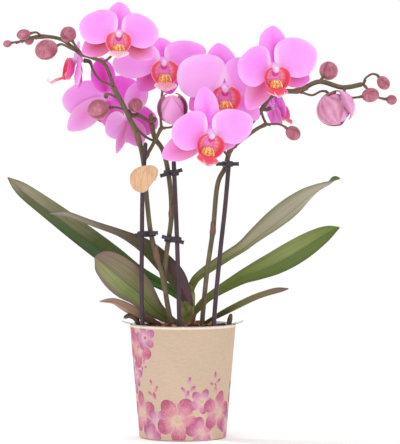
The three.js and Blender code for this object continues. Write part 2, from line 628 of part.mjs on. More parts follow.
// Tag: a palette-shaped disc of thin wood, bare on both faces
function woodTag() {
  const outline = new THREE.Shape();
  outline.moveTo(-13, -1);
  outline.bezierCurveTo(-14, 9, -3.5, 12.5, 4.3, 12.5);
  outline.bezierCurveTo(13, 12.5, 14, 6, 10.4, 0.5);
  outline.bezierCurveTo(6.5, -4, 5.4, -6, 2.6, -10);
  outline.bezierCurveTo(-1.3, -14, -12, -12, -13, -1);
  const plate = new THREE.ExtrudeGeometry(outline, {
    depth: tagThickness, bevelEnabled: false, curveSegments: 6,
  });
  plate.rotateX(Math.PI / 2);
  return toSolid(plate.translate(-34, -27.9, 233));
}

// Crown: the fan of leaf bases on the short stem, with dry sheaths and the roots that leave it
const crownProfile = [[0, 84], [5, 84], [6.4, 94], [6.8, 118], [6.2, 129], [3.8, 136], [0, 139]];
const crownPlace = [4.2, 6, 0];
const rootRadius = 2.2;
const crownRoots = [
  [[6, 6, 90], [-16, 4, 86], [-36, -4, 90], [-39, -8.5, 99], [-42.2, -12.5, 107.5], [-48, -14.5, 110.5],
    [-53, -15.5, 108.5]],
  [[8, 6, 92], [24, 2, 84], [37, -4, 88], [41, -6.5, 97], [42, -7, 105], [43.5, -7.5, 112]],
  [[8, 2, 95], [8, -8, 99], [10, -18, 97], [13, -27, 88]],
  [[4, 10, 95], [0, 20, 100], [-6, 29, 97], [-9, 34, 88]],
  [[12, 10, 94], [22, 16, 99], [29, 20, 96], [32, 22, 88]],
];

function crownBody() {
  const stem = turned(crownProfile, 7);
  const sheaths = [200, 320].map((angle) => {
    const turn = THREE.MathUtils.degToRad(angle);
    const at = (t, s) => {
      const around = turn + s * 0.75 * (1 - 0.85 * t);
      const reach = 6 + 3 * t * t;
      return new THREE.Vector3(reach * Math.cos(around), reach * Math.sin(around), 95 + 17 * t);
    };
    return blade(at, 4, 2, 1.2);
  });
  const roots = crownRoots.map((points) => rod(points, rootRadius, 6, points.length));
  return join([join([stem, ...sheaths]).translate(crownPlace), ...roots]);
}

const orchid = new THREE.Group();

// Crossing faces leave slivers, which the simplified solid is free of
function add(name, solid, finish) {
  const material = new THREE.MeshStandardMaterial({ metalness: 0, ...finishes[finish] });
  const mesh = new THREE.Mesh(toGeometry(solid.simplify(sliver)), material);
  mesh.name = name;
  orchid.add(mesh);
}

const fat = (points, radius, sides, steps) => rod(points, radius + gap, sides, steps);
const spikeTools = spikes.map((spike) => fat(spike.stem, spikeRadius * 1.12, 6, stemSteps(spike)));
const stakeTools = stakes.map((points) => stakeRod(points, stakeRadius + gap));
const crown = crownBody();
const crownHoles = [...crownRoots.map((points) => fat(points, rootRadius * 1.1, 6, points.length)),
  turned([[0, 82], [6, 82], [7.8, 90], [8.6, 112], [0, 113]], 10).translate(crownPlace)];
const leafTools = leaves.map((leaf) => leafBody(leaf, gap + 0.1));

add('paper_pot', paperPot(), 'kraft');
add('grow_pot', growPot(), 'clearPlastic');
const barkTools = [...stakeTools, ...spikeTools, ...crownHoles, ...leafTools];
add('bark', largest(cut(barkFill(), barkTools).simplify(0.3)), 'bark');
add('crown', largest(cut(crown, [...spikeTools, ...leafTools]).simplify(0.25)), 'root');
leaves.forEach((leaf, k) => add(`leaf_${k + 1}`, leafBody(leaf), 'leafGreen'));
stakes.forEach((points, k) => add(`stake_${k + 1}`, stakeRod(points, stakeRadius), 'stake'));
clips.forEach((clip, k) => add(`clip_${k + 1}`, clipBody(clip, stakeTools, spikeTools), 'clip'));
add('tag', woodTag(), 'wood');
spikes.forEach((spike, k) => add(`spike_${k + 1}`, spikeBody(spike, k + 1), 'stem'));
blooms.forEach((bloom, k) => add(`bloom_${k + 1}`, bloomBody(bloom), 'petal'));
blooms.forEach((bloom, k) => add(`lip_${k + 1}`, lipBody(bloom), 'lip'));
buds.forEach((bud, k) => add(`bud_${k + 1}`, bud.opening ? openingBud(bud) : budBody(bud), 'bud'));

export default orchid;
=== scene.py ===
import math

import bpy
import numpy as np
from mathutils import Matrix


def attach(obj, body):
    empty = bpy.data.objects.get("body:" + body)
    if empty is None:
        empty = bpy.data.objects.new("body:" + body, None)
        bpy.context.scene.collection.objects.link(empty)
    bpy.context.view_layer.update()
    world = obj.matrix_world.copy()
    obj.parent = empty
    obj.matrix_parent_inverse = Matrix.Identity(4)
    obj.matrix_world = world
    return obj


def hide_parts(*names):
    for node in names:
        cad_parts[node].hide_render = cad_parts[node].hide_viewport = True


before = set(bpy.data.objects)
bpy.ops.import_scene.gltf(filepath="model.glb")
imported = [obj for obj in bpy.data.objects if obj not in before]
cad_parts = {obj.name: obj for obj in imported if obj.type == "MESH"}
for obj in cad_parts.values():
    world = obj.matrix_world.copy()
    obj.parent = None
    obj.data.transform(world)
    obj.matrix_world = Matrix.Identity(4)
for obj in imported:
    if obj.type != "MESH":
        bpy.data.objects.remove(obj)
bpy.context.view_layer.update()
print("frame loaded:", len(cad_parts), "nodes")

mm = 0.001
tau = 2 * math.pi
rng = np.random.default_rng(20)
# How far a turned profile stays off its axis, in mm
nearAxis = 0.2


# Camera: a long lens at the photograph's place, level with the flowers and tipped down a little
view = {"place": (15.5, -2500, 272), "tipDown": 1.786, "lens": 225.3, "longSide": 36}
cameraData = bpy.data.cameras.new("camera")
cameraData.sensor_fit = "VERTICAL"
cameraData.sensor_height = view["longSide"]
cameraData.lens = view["lens"]
cameraData.clip_end = 30
camera = bpy.data.objects.new("camera", cameraData)
camera.location = [mm * value for value in view["place"]]
camera.rotation_euler = (math.radians(90 - view["tipDown"]), 0, 0)
bpy.context.scene.collection.objects.link(camera)
bpy.context.scene.camera = camera


def unit(vectors):
    return vectors / np.maximum(np.linalg.norm(vectors, axis=-1, keepdims=True), 1e-9)


def smoothstep(low, high, value):
    share = np.clip((value - low) / (high - low), 0, 1)
    return share * share * (3 - 2 * share)


# The root of 1 - value^power: near 1 for most of the way, with a round fall at the border
def rounded(value, power, least=0):
    return np.sqrt(np.clip(1 - value**power, least, 1))


# The places along a blade, from 0 to 1, and across it, from -1 to 1. Eased, the places across follow a
# sine and so crowd at the margins.
def bladeGrid(rows, columns, eased=True):
    half = math.pi / 2
    across = np.sin(np.linspace(-half, half, columns)) if eased else np.linspace(-1, 1, columns)
    return np.meshgrid(np.linspace(0, 1, rows), across, indexing="ij")


# A Catmull-Rom curve through the points: the cubic between two points whose slopes come from their
# neighbours, spaced by the square root of the distance, or evenly where uniform is set
def smoothPath(points, count, uniform=False):
    known = np.asarray(points, float)
    padded = np.vstack([2 * known[0] - known[1], known, 2 * known[-1] - known[-2]])
    place = np.linspace(0, len(known) - 1, count)
    span = np.minimum(place.astype(int), len(known) - 2)
    w = (place - span)[:, None]
    p0, p1, p2, p3 = (padded[span + k] for k in range(4))
    if uniform:
        m1, m2 = 0.5 * (p2 - p0), 0.5 * (p3 - p1)
    else:
        d0, d1, d2 = (np.sqrt(np.linalg.norm(b - a, axis=1, keepdims=True))
                      for a, b in ((p0, p1), (p1, p2), (p2, p3)))
        m1 = ((p1 - p0) / d0 - (p2 - p0) / (d0 + d1) + (p2 - p1) / d1) * d1
        m2 = ((p2 - p1) / d1 - (p3 - p1) / (d1 + d2) + (p3 - p2) / d2) * d1
    return p1 + m1 * w + (3 * (p2 - p1) - 2 * m1 - m2) * w**2 + (2 * (p1 - p2) + m1 + m2) * w**3


# The same curve with its points an even distance apart
def evenPath(points, count):
    dense = smoothPath(points, 24 * len(points))
    run = np.concatenate([[0], np.cumsum(np.linalg.norm(np.diff(dense, axis=0), axis=1))])
    at = np.linspace(0, run[-1], count)
    return np.stack([np.interp(at, run, dense[:, k]) for k in range(3)], axis=1)


# Radius and height pairs, joined by the same curve
def smoothProfile(pairs, count):
    return smoothPath(np.hstack([pairs, np.zeros((len(pairs), 1))]), count)[:, :2]


# One closed body of a piece: its points, its faces (a triangle has -1 last), what its points carry
# and the number of its finish
def body(points, faces, tags, finish=0):
    corners = points[np.where(faces < 0, faces[:, :1], faces)]
    first, second, third, fourth = (corners[:, k] for k in range(4))
    volume = np.einsum("ij,ij->", first, np.cross(second, third) + np.cross(third, fourth))
    if volume < 0:
        quads = faces[:, 3] >= 0
        faces = np.where(quads[:, None], faces[:, ::-1], faces[:, [0, 2, 1, 3]])
    return {"points": points, "faces": faces, "tags": tags, "finish": finish}


def gridFaces(ids):
    return np.stack([ids[:-1, :-1], ids[1:, :-1], ids[1:, 1:], ids[:-1, 1:]], axis=-1).reshape(-1, 4)


# A thin closed blade: the surface pushed out by half its thickness on either face, and the two faces
# share their border. tags are fields over the grid, and frontTag is 1 on the face that is pushed out.
def blade(surface, thickness, tags, finish=0):
    rows, columns = surface.shape[:2]
    normal = unit(np.cross(np.gradient(surface, axis=0), np.gradient(surface, axis=1)))
    inner = (slice(1, -1), slice(1, -1))
    half = np.zeros((rows, columns, 1))
    half[inner] = np.broadcast_to(thickness, (rows, columns))[inner][..., None] / 2
    front = surface + normal * half
    back = (surface - normal * half)[inner]
    frontIds = np.arange(rows * columns).reshape(rows, columns)
    backIds = frontIds.copy()
    backIds[inner] = rows * columns + np.arange((rows - 2) * (columns - 2)).reshape(rows - 2, -1)
    faces = np.vstack([gridFaces(frontIds), gridFaces(backIds)[:, ::-1]])
    carried = {}
    for name, field in tags.items():
        whole = np.broadcast_to(field, (rows, columns))
        carried[name] = np.concatenate([whole.ravel(), whole[inner].ravel()])
    carried["front"] = np.concatenate([np.ones(rows * columns), np.zeros((rows - 2) * (columns - 2))])
    points = np.vstack([front.reshape(-1, 3), back.reshape(-1, 3)])
    return {"points": points, "faces": faces, "tags": carried, "finish": finish}


# A closed round body: rings of points one after another, each end drawn to a pole
def rings(loops, tags, finish=0):
    rows, columns = loops.shape[:2]
    ids = np.arange(rows * columns).reshape(rows, columns)
    wrapped = np.hstack([ids, ids[:, :1]])
    faces = gridFaces(wrapped)
    poles = np.stack([loops[0].mean(axis=0), loops[-1].mean(axis=0)])
    turnOn = np.roll(np.arange(columns), -1)
    none = np.full(columns, -1)
    start = np.stack([np.full(columns, rows * columns), ids[0], ids[0][turnOn], none], axis=1)
    end = np.stack([np.full(columns, rows * columns + 1), ids[-1][turnOn], ids[-1], none], axis=1)
    carried = {}
    for name, field in tags.items():
        whole = np.broadcast_to(field, (rows, columns))
        carried[name] = np.concatenate([whole.ravel(), [whole[0].mean(), whole[-1].mean()]])
    points = np.vstack([loops.reshape(-1, 3), poles])
    return body(points, np.vstack([faces, start, end]), carried, finish)


# A tube: a circle of the given radius, times swell(angle) where it is given, carried along a path
def tube(path, radius, sides, tags=None, finish=0, swell=None):
    ahead = unit(np.gradient(path, axis=0))
    reference = np.linalg.svd(ahead)[2][-1]
    side = unit(np.cross(ahead, reference))
    other = np.cross(ahead, side)
    angle = np.arange(sides) * tau / sides
    reach = np.broadcast_to(np.asarray(radius, float).reshape(-1, 1), (len(path), sides))
    if swell is not None:
        reach = reach * swell(angle)
    loops = (path[:, None] + reach[..., None] * (side[:, None] * np.cos(angle)[:, None]
                                                 + other[:, None] * np.sin(angle)[:, None]))
    along = np.linspace(0, 1, len(path))[:, None]
    return rings(loops, {"along": along, **(tags or {})}, finish)


# A turned body: radius and height pairs carried round the Z axis
def turned(profile, sides, tags=None, finish=0):
    outline = np.asarray(profile, float)
    angle = np.arange(sides) * tau / sides
    loops = np.stack([outline[:, :1] * np.cos(angle), outline[:, :1] * np.sin(angle),
                      np.broadcast_to(outline[:, 1:2], (len(outline), sides))], axis=-1)
    along = np.linspace(0, 1, len(outline))[:, None]
    return rings(loops, {"along": along, **(tags or {})}, finish)


# A profile with its corners kept and points added on its straight runs
def denser(profile, step):
    corners = np.asarray(profile, float)
    runs = [np.linspace(a, b, max(2, int(np.linalg.norm(b - a) / step) + 1), endpoint=False)
            for a, b in zip(corners[:-1], corners[1:])]
    return np.vstack([*runs, corners[-1:]])


# A ball stretched to three radii, or with a power under 1 a rounded box
def ball(centre, radii, count=24, power=1, tags=None, finish=0):
    polar = np.linspace(0.02, math.pi - 0.02, count)[:, None]
    angle = np.arange(count * 2) * tau / (count * 2)

    def bend(value):
        return np.sign(value) * np.abs(value) ** power

    shape = (count, count * 2)
    around = bend(np.sin(polar))
    loops = np.stack([around * bend(np.cos(angle)), around * bend(np.sin(angle)),
                      np.broadcast_to(-bend(np.cos(polar)), shape)], axis=-1)
    loops = loops * np.asarray(radii, float) + np.asarray(centre, float)
    along = np.linspace(0, 1, count)[:, None]
    return rings(loops, {"along": along, **(tags or {})}, finish)


def placed(part, turn, centre=(0, 0, 0)):
    return {**part, "points": part["points"] @ np.asarray(turn).T + np.asarray(centre, float)}


# The turn that takes +Z to a direction, by the shortest way
def towards(direction):
    x, y, z = unit(np.asarray(direction, float))
    if z < -0.9999:
        return np.diag([1.0, -1.0, -1.0])
    k = 1 / (1 + z)
    return np.array([[1 - k * x * x, -k * x * y, x], [-k * x * y, 1 - k * y * y, y], [-x, -y, z]])


# The turn by an angle about the X, Y or Z axis, which are numbered 0, 1 and 2
def turnAbout(axis, angle):
    first, second = (axis + 1) % 3, (axis + 2) % 3
    turn = np.eye(3)
    turn[first, first] = turn[second, second] = math.cos(angle)
    turn[second, first] = math.sin(angle)
    turn[first, second] = -math.sin(angle)
    return turn


# One Blender object from closed bodies given in millimetres. It rides on the one body and stands for
# the nodes that are named.
def makePiece(name, parts, finishes, slotName, *replaced):
    starts = np.cumsum([0] + [len(part["points"]) for part in parts])
    points = np.vstack([part["points"] for part in parts]) * mm
    faces = np.vstack([np.where(part["faces"] < 0, -1, part["faces"] + start)
                       for part, start in zip(parts, starts)])
    sizes = (faces >= 0).sum(axis=1)
    corners = faces[faces >= 0]
    mesh = bpy.data.meshes.new(name)
    mesh.vertices.add(len(points))
    mesh.vertices.foreach_set("co", points.astype(np.float32).ravel())
    mesh.loops.add(len(corners))
    mesh.loops.foreach_set("vertex_index", corners.astype(np.int32))
    mesh.polygons.add(len(faces))
    mesh.polygons.foreach_set("loop_start", np.concatenate([[0], np.cumsum(sizes)[:-1]]).astype(np.int32))
    mesh.polygons.foreach_set("use_smooth", np.ones(len(faces), bool))
    numbers = np.concatenate([np.full(len(part["faces"]), part["finish"]) for part in parts])
    for finish in finishes:
        mesh.materials.append(finish)
    mesh.polygons.foreach_set("material_index", numbers.astype(np.int32))
    for tag in sorted({key for part in parts for key in part["tags"]}):
        field = [part["tags"].get(tag, np.zeros(len(part["points"]))) for part in parts]
        attribute = mesh.attributes.new(tag, "FLOAT", "POINT")
        attribute.data.foreach_set("value", np.concatenate(field).astype(np.float32))
    mesh.update(calc_edges=True)
    mesh.validate()
    piece = bpy.data.objects.new(name, mesh)
    bpy.context.scene.collection.objects.link(piece)
    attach(piece, "root")
    if replaced:
        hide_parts(*replaced)
    return piece


# Finishes. Colours are given as they look on a screen, and this turns one into light
def screenColour(shade):
    return tuple((value / 255 / 12.92) if value <= 10 else ((value / 255 + 0.055) / 1.055) ** 2.4
                 for value in shade) + (1.0,)


def addNode(tree, kind, sockets=None, **settings):
    made = tree.nodes.new("ShaderNode" + kind)
    for key, value in settings.items():
        setattr(made, key, value)
    for key, value in (sockets or {}).items():
        if isinstance(value, bpy.types.NodeSocket):
            tree.links.new(value, made.inputs[key])
        else:
            made.inputs[key].default_value = value
    return made


def calc(tree, operation, first, second=0.0, third=0.0, clamp=False):
    made = addNode(tree, "Math", {0: first, 1: second, 2: third}, operation=operation, use_clamp=clamp)
    return made.outputs[0]


# 0 below low, 1 above high and a smooth step between; low may be the larger
def stepMask(tree, value, low, high):
    made = addNode(tree, "MapRange", {"Value": value, "From Min": low, "From Max": high},
                   interpolation_type="SMOOTHSTEP")
    return made.outputs[0]


# A mix of two colours, each of which is a socket or a colour as it looks on a screen
def blendColour(tree, share, first, second, mode="MIX"):
    ends = [end if isinstance(end, bpy.types.NodeSocket) else screenColour(end) for end in (first, second)]
    made = addNode(tree, "Mix", {0: share, 6: ends[0], 7: ends[1]}, data_type="RGBA", blend_type=mode)
    return made.outputs[2]


def ramp(tree, value, stops):
    made = addNode(tree, "ValToRGB", {"Fac": value})
    bar = made.color_ramp.elements
    while len(bar) < len(stops):
        bar.new(0.5)
    for element, (place, shade) in zip(bar, stops):
        element.position = place
        element.color = screenColour(shade)
    return made.outputs["Color"]


def tagValue(tree, name):
    return addNode(tree, "Attribute", attribute_name=name).outputs["Fac"]


# Colours laid over a shade, each as far as the tag of that name says
def overlaid(tree, shade, layers):
    for tag, over in layers.items():
        shade = blendColour(tree, tagValue(tree, tag), shade, over)
    return shade


def objectPlace(tree):
    return addNode(tree, "TexCoord").outputs["Object"]


def noise(tree, vector, scale, detail=2.0, roughness=0.5, stretch=None):
    if stretch:
        vector = addNode(tree, "Mapping", {"Vector": vector, "Scale": stretch}).outputs[0]
    made = addNode(tree, "TexNoise", {"Vector": vector, "Scale": scale, "Detail": detail,
                                      "Roughness": roughness})
    return made.outputs["Fac"]


def newGroup(name, inputs, outputs):
    tree = bpy.data.node_groups.new(name, "ShaderNodeTree")
    for label, value in inputs.items():
        kind = "NodeSocketVector" if isinstance(value, tuple) else "NodeSocketFloat"
        socket = tree.interface.new_socket(label, in_out="INPUT", socket_type=kind)
        socket.default_value = value
    for label in outputs:
        tree.interface.new_socket(label, in_out="OUTPUT", socket_type="NodeSocketFloat")
    start = tree.nodes.new("NodeGroupInput").outputs
    end = tree.nodes.new("NodeGroupOutput").inputs
    return tree, start, end


def useGroup(tree, group, sockets):
    return addNode(tree, "Group", sockets, node_tree=group).outputs


# Veins: dark where the sine of the place across the blade, times a count, comes near nought. Noise
# bends the lines, and they fade towards the ends.
def buildVeins():
    tree, given, out = newGroup("veins", {"Along": 0.0, "Across": 0.0, "Place": (0.0, 0.0, 0.0), "Count": 9.0,
                                          "Width": 0.35, "Wobble": 1.0}, ["Vein"])
    bend = noise(tree, given["Place"], 90.0)
    bend = calc(tree, "MULTIPLY", calc(tree, "SUBTRACT", bend, 0.5), given["Wobble"])
    turns = calc(tree, "MULTIPLY", given["Count"], math.pi)
    angle = calc(tree, "MULTIPLY_ADD", given["Across"], turns, bend)
    height = calc(tree, "ABSOLUTE", calc(tree, "SINE", angle))
    line = addNode(tree, "MapRange", {"Value": height, "From Min": 0.0, "From Max": given["Width"],
                                      "To Min": 1.0, "To Max": 0.0}, interpolation_type="SMOOTHSTEP")
    fade = calc(tree, "MULTIPLY", stepMask(tree, given["Along"], 0.02, 0.2),
                stepMask(tree, given["Along"], 1.0, 0.75))
    tree.links.new(calc(tree, "MULTIPLY", line.outputs[0], fade), out["Vein"])
    return tree


# Mottle: soft blotches and fine grain of a surface that grew, about nought
def buildMottle():
    tree, given, out = newGroup("mottle", {"Place": (0.0, 0.0, 0.0), "Blotch": 60.0, "Grain": 900.0,
                                           "Fineness": 0.3}, ["Value"])
    blotch = calc(tree, "SUBTRACT", noise(tree, given["Place"], given["Blotch"], 3.0), 0.5)
    grain = calc(tree, "SUBTRACT", noise(tree, given["Place"], given["Grain"], 2.0), 0.5)
    whole = calc(tree, "MULTIPLY_ADD", grain, given["Fineness"], blotch)
    tree.links.new(whole, out["Value"])
    return tree


veins = buildVeins()
mottle = buildMottle()


def veined(tree, place, count, width, wobble):
    return useGroup(tree, veins, {"Along": tagValue(tree, "along"), "Across": tagValue(tree, "across"),
                                  "Place": place, "Count": count, "Width": width, "Wobble": wobble})["Vein"]


def mottled(tree, place, blotch, grain, fineness):
    return useGroup(tree, mottle, {"Place": place, "Blotch": blotch, "Grain": grain,
                                   "Fineness": fineness})["Value"]


def newFinish(name, roughness, specular=0.5, **fixed):
    material = bpy.data.materials.new(name)
    material.use_nodes = True
    tree = material.node_tree
    shader = tree.nodes["Principled BSDF"]
    shader.inputs["Roughness"].default_value = roughness
    shader.inputs["Specular IOR Level"].default_value = specular
    for key, value in fixed.items():
        shader.inputs[key.replace("_", " ")].default_value = value
    return material, tree, shader


# The colour of a finish and its relief, which is a height with a strength and a distance
def dress(tree, shader, shade, height, strength, distance):
    tree.links.new(shade, shader.inputs["Base Color"])
    relief = addNode(tree, "Bump", {"Height": height, "Strength": strength, "Distance": distance})
    tree.links.new(relief.outputs[0], shader.inputs["Normal"])


# The looks below say: veins are a count, a width and a wobble, a mottle is the scale of its blotches, the
# scale of its grain and the share of that, fibres are noise with a scale, a detail, a roughness and a
# stretch, and a relief is a strength and a distance. surface is the roughness and the gloss.
#
# Petals: the depth that the points carry, from palest lilac to deep magenta. Warm places near the lip
# turn salmon and the middle of the flower is white.
petalLook = {
    "surface": (0.62, 0.3),
    "skin": {"Subsurface_Weight": 0.12, "Subsurface_Scale": 0.002, "Sheen_Weight": 0.08},
    "depth": [(0.0, (255, 222, 255)), (0.3, (255, 180, 253)), (0.5, (252, 148, 247)),
              (0.72, (244, 92, 224)), (1.0, (212, 36, 150))],
    "over": {"warm": (204, 80, 100), "white": (255, 244, 252)},
    "veins": (8.0, 0.4, 1.3), "veinShare": 0.05, "veinSink": -0.6,
    "mottle": (55.0, 1400.0, 0.25), "mottleShare": 0.16, "relief": (0.25, 0.0004),
}
# Lip: coral on the lobes and tongue with pale rims. The lobes are lilac outside and paler inside.
lipLook = {
    "surface": (0.42, 0.4), "skin": {"Subsurface_Weight": 0.1, "Subsurface_Scale": 0.002},
    "depth": [(0.0, (255, 236, 240)), (0.25, (250, 182, 204)), (0.5, (246, 100, 126)),
              (0.75, (240, 66, 98)), (1.0, (214, 28, 84))],
    "over": {"lilac": (240, 132, 214), "inner": (250, 206, 206)},
    "veins": (5.0, 0.5, 1.0), "veinShare": 0.12, "veinSink": 0.0,
    "mottle": (160.0, 1500.0, 0.3), "mottleShare": 0.3, "relief": (0.2, 0.0003),
}


# A flower's skin: the depth, moved by veins and mottle, picks the colour
def flowerFinish(name, look):
    material, tree, shader = newFinish(name, *look["surface"], **look["skin"])
    place = objectPlace(tree)
    lines = veined(tree, place, *look["veins"])
    blotch = mottled(tree, place, *look["mottle"])
    depth = calc(tree, "MULTIPLY_ADD", blotch, look["mottleShare"], tagValue(tree, "depth"))
    depth = calc(tree, "MULTIPLY_ADD", lines, look["veinShare"], depth, clamp=True)
    shade = overlaid(tree, ramp(tree, depth, look["depth"]), look["over"])
    height = calc(tree, "MULTIPLY_ADD", lines, look["veinSink"], blotch)
    dress(tree, shader, shade, height, *look["relief"])
    return material


# Callus: orange with dark spots, which are the middles of small cells
callusLook = {
    "surface": (0.35, 0.5), "mottle": (220.0, 1200.0, 0.4), "mottleShare": 0.8,
    "depth": [(0.0, (255, 232, 196)), (0.4, (252, 182, 84)), (1.0, (238, 110, 30))],
    "cells": 620.0, "spotEdge": (0.36, 0.22), "spots": (150, 44, 30), "relief": (0.3, 0.0003),
}


def callusFinish():
    material, tree, shader = newFinish("lipCallus", *callusLook["surface"])
    place = objectPlace(tree)
    blotch = mottled(tree, place, *callusLook["mottle"])
    depth = calc(tree, "MULTIPLY_ADD", blotch, callusLook["mottleShare"], tagValue(tree, "depth"), clamp=True)
    shade = ramp(tree, depth, callusLook["depth"])
    cells = addNode(tree, "TexVoronoi", {"Vector": place, "Scale": callusLook["cells"]}).outputs["Distance"]
    spots = calc(tree, "MULTIPLY", stepMask(tree, cells, *callusLook["spotEdge"]), tagValue(tree, "spotted"))
    shade = blendColour(tree, spots, shade, callusLook["spots"])
    dress(tree, shader, shade, blotch, *callusLook["relief"])
    return material


# Column: white cap and pale sides, magenta where the points carry it
columnLook = {
    "surface": (0.4, 0.4), "skin": {"Subsurface_Weight": 0.1, "Subsurface_Scale": 0.002},
    "stigma": (216, 64, 160), "cap": (252, 216, 242),
    "mottle": (200.0, 1500.0, 0.2), "mottleShare": 0.3, "relief": (0.15, 0.0002),
}


def columnFinish():
    material, tree, shader = newFinish("column", *columnLook["surface"], **columnLook["skin"])
    blotch = mottled(tree, objectPlace(tree), *columnLook["mottle"])
    share = tagValue(tree, "magenta")
    share = calc(tree, "MULTIPLY_ADD", blotch, columnLook["mottleShare"], share, clamp=True)
    shade = blendColour(tree, share, columnLook["cap"], columnLook["stigma"])
    dress(tree, shader, shade, blotch, *columnLook["relief"])
    return material


# Buds: dusty rose, darker along the seams, pink inside, olive at the stalk and pale where light strikes
# the wax
budLook = {
    "surface": (0.36, 0.45), "skin": {"Coat_Weight": 0.12, "Coat_Roughness": 0.3},
    "depth": [(0.0, (228, 168, 190)), (0.25, (206, 130, 152)), (0.5, (170, 88, 106)), (1.0, (106, 44, 60))],
    "over": {"lilac": (246, 170, 228), "rim": (132, 24, 62), "foot": (128, 104, 62)},
    "mottle": (130.0, 1300.0, 0.35), "mottleShare": 0.7,
    "fibres": (520.0, 2.0, 0.5, (1.0, 1.0, 0.35)), "fibreShare": 0.35, "relief": (0.15, 0.0003),
}


def budFinish():
    material, tree, shader = newFinish("bud", *budLook["surface"], **budLook["skin"])
    place = objectPlace(tree)
    # The pale blotches of the mottle are painted highlights on the wax
    blotch = mottled(tree, place, *budLook["mottle"])
    fibre = noise(tree, place, *budLook["fibres"])
    depth = calc(tree, "MULTIPLY_ADD", blotch, budLook["mottleShare"], tagValue(tree, "seam"))
    streak = calc(tree, "SUBTRACT", fibre, 0.5)
    depth = calc(tree, "MULTIPLY_ADD", streak, budLook["fibreShare"], depth, clamp=True)
    shade = overlaid(tree, ramp(tree, depth, budLook["depth"]), budLook["over"])
    dress(tree, shader, shade, fibre, *budLook["relief"])
    return material


# Stems: olive brown with long fibres, redder at the joints
stemLook = {
    "surface": (0.5, 0.4), "depth": [(0.25, (74, 62, 46)), (0.55, (112, 98, 72)), (0.85, (140, 124, 92))],
    "fibres": (700.0, 3.0, 0.5, (1.0, 1.0, 0.12)), "patches": 70.0,
    "joint": (136, 88, 78), "jointShare": 0.75, "relief": (0.3, 0.0003),
}


def stemFinish():
    material, tree, shader = newFinish("stem", *stemLook["surface"])
    place = objectPlace(tree)
    fibre = noise(tree, place, *stemLook["fibres"])
    patch = noise(tree, place, stemLook["patches"])
    depth = calc(tree, "MULTIPLY_ADD", fibre, 0.5, calc(tree, "MULTIPLY", patch, 0.5))
    shade = ramp(tree, depth, stemLook["depth"])
    share = calc(tree, "MULTIPLY", tagValue(tree, "joint"), stemLook["jointShare"])
    shade = blendColour(tree, share, shade, stemLook["joint"])
    dress(tree, shader, shade, fibre, *stemLook["relief"])
    return material


# Leaves: along the blade each half has its own run of colours. On some leaves these hold painted light on one
# half and painted shade on the other, and painted sheen where they turn pale grey. The margin and the midrib
# are drawn over them, and the hidden face is plain green or purple. Veins, streaks along the blade and a fine
# grain lie over both faces; the streaks are painted sheen, light and dark runs along the blade. Streaks and
# grain are soft light, which the middle grey leaves as it is.
leafSurface = {
    "surface": (0.46, 0.24), "mottle": (45.0, 900.0, 0.3), "veins": (16.0, 0.7, 0.6), "veinSink": -0.5,
    "relief": (0.2, 0.0005), "runWaver": 0.12, "marginWaver": 0.2, "hiddenEdge": 0.3,
    "halves": 0.12, "marginFrom": 0.55, "ribHalf": 0.07, "ribShare": 0.55, "veinShare": 0.16,
    "streakStretch": (11.0, 2.2, 1.0), "streakShare": 0.55, "grainShare": 0.12,
    "streakTones": [(0.3, (140, 140, 126)), (0.5, (188, 188, 188)), (0.72, (232, 232, 222))],
    "grainTones": [(0.2, (40, 40, 20)), (0.8, (235, 240, 205))],
}


def leafFinish(name, look):
    material, tree, shader = newFinish(name, *leafSurface["surface"])
    along, across, place = tagValue(tree, "along"), tagValue(tree, "across"), objectPlace(tree)
    blotch = mottled(tree, place, *leafSurface["mottle"])
    run = calc(tree, "MULTIPLY_ADD", blotch, leafSurface["runWaver"], along)
    half = stepMask(tree, across, -leafSurface["halves"], leafSurface["halves"])
    shown = blendColour(tree, half, ramp(tree, run, look["low"]), ramp(tree, run, look["high"]))
    width = calc(tree, "ABSOLUTE", across)
    margin = calc(tree, "MULTIPLY_ADD", blotch, leafSurface["marginWaver"], width)
    margin = stepMask(tree, margin, leafSurface["marginFrom"], 1.0)
    margin = calc(tree, "MULTIPLY", margin, look["marginShare"])
    shown = blendColour(tree, margin, shown, look["margin"])
    rib = calc(tree, "MULTIPLY", stepMask(tree, width, leafSurface["ribHalf"], 0.0), leafSurface["ribShare"])
    shown = blendColour(tree, rib, shown, look["rib"])
    hiddenEdge = leafSurface["hiddenEdge"]
    hidden = blendColour(tree, stepMask(tree, blotch, -hiddenEdge, hiddenEdge), *look["hidden"])
    shade = blendColour(tree, tagValue(tree, "shown"), hidden, shown)
    lines = veined(tree, place, *leafSurface["veins"])
    shade = blendColour(tree, calc(tree, "MULTIPLY", lines, leafSurface["veinShare"]), shade, look["line"])
    # Painted sheen: light and dark streaks that run along the blade
    ribbon = addNode(tree, "CombineXYZ", {0: across, 1: along}).outputs[0]
    streak = noise(tree, ribbon, 1.0, 4.0, 0.6, stretch=leafSurface["streakStretch"])
    grain = calc(tree, "MULTIPLY_ADD", blotch, 0.5, 0.5, clamp=True)
    for kind, value in (("streak", streak), ("grain", grain)):
        tones = ramp(tree, value, leafSurface[kind + "Tones"])
        shade = blendColour(tree, leafSurface[kind + "Share"], shade, tones, "SOFT_LIGHT")
    height = calc(tree, "MULTIPLY_ADD", lines, leafSurface["veinSink"], blotch)
    dress(tree, shader, shade, height, *leafSurface["relief"])
    return material


# Bark: each chip has its own tone, with cracks along its grain
barkLook = {
    "surface": (0.85, 0.25), "cracks": (420.0, 4.0, 0.65, (1.0, 0.35, 1.6)), "crackShare": 0.9,
    "patches": (110.0, 3.0), "patchShare": 0.7, "relief": (0.7, 0.0012),
    "tone": [(0.0, (44, 26, 24)), (0.3, (88, 46, 40)), (0.55, (132, 72, 60)), (0.8, (170, 112, 92)),
             (1.0, (196, 160, 134))],
}


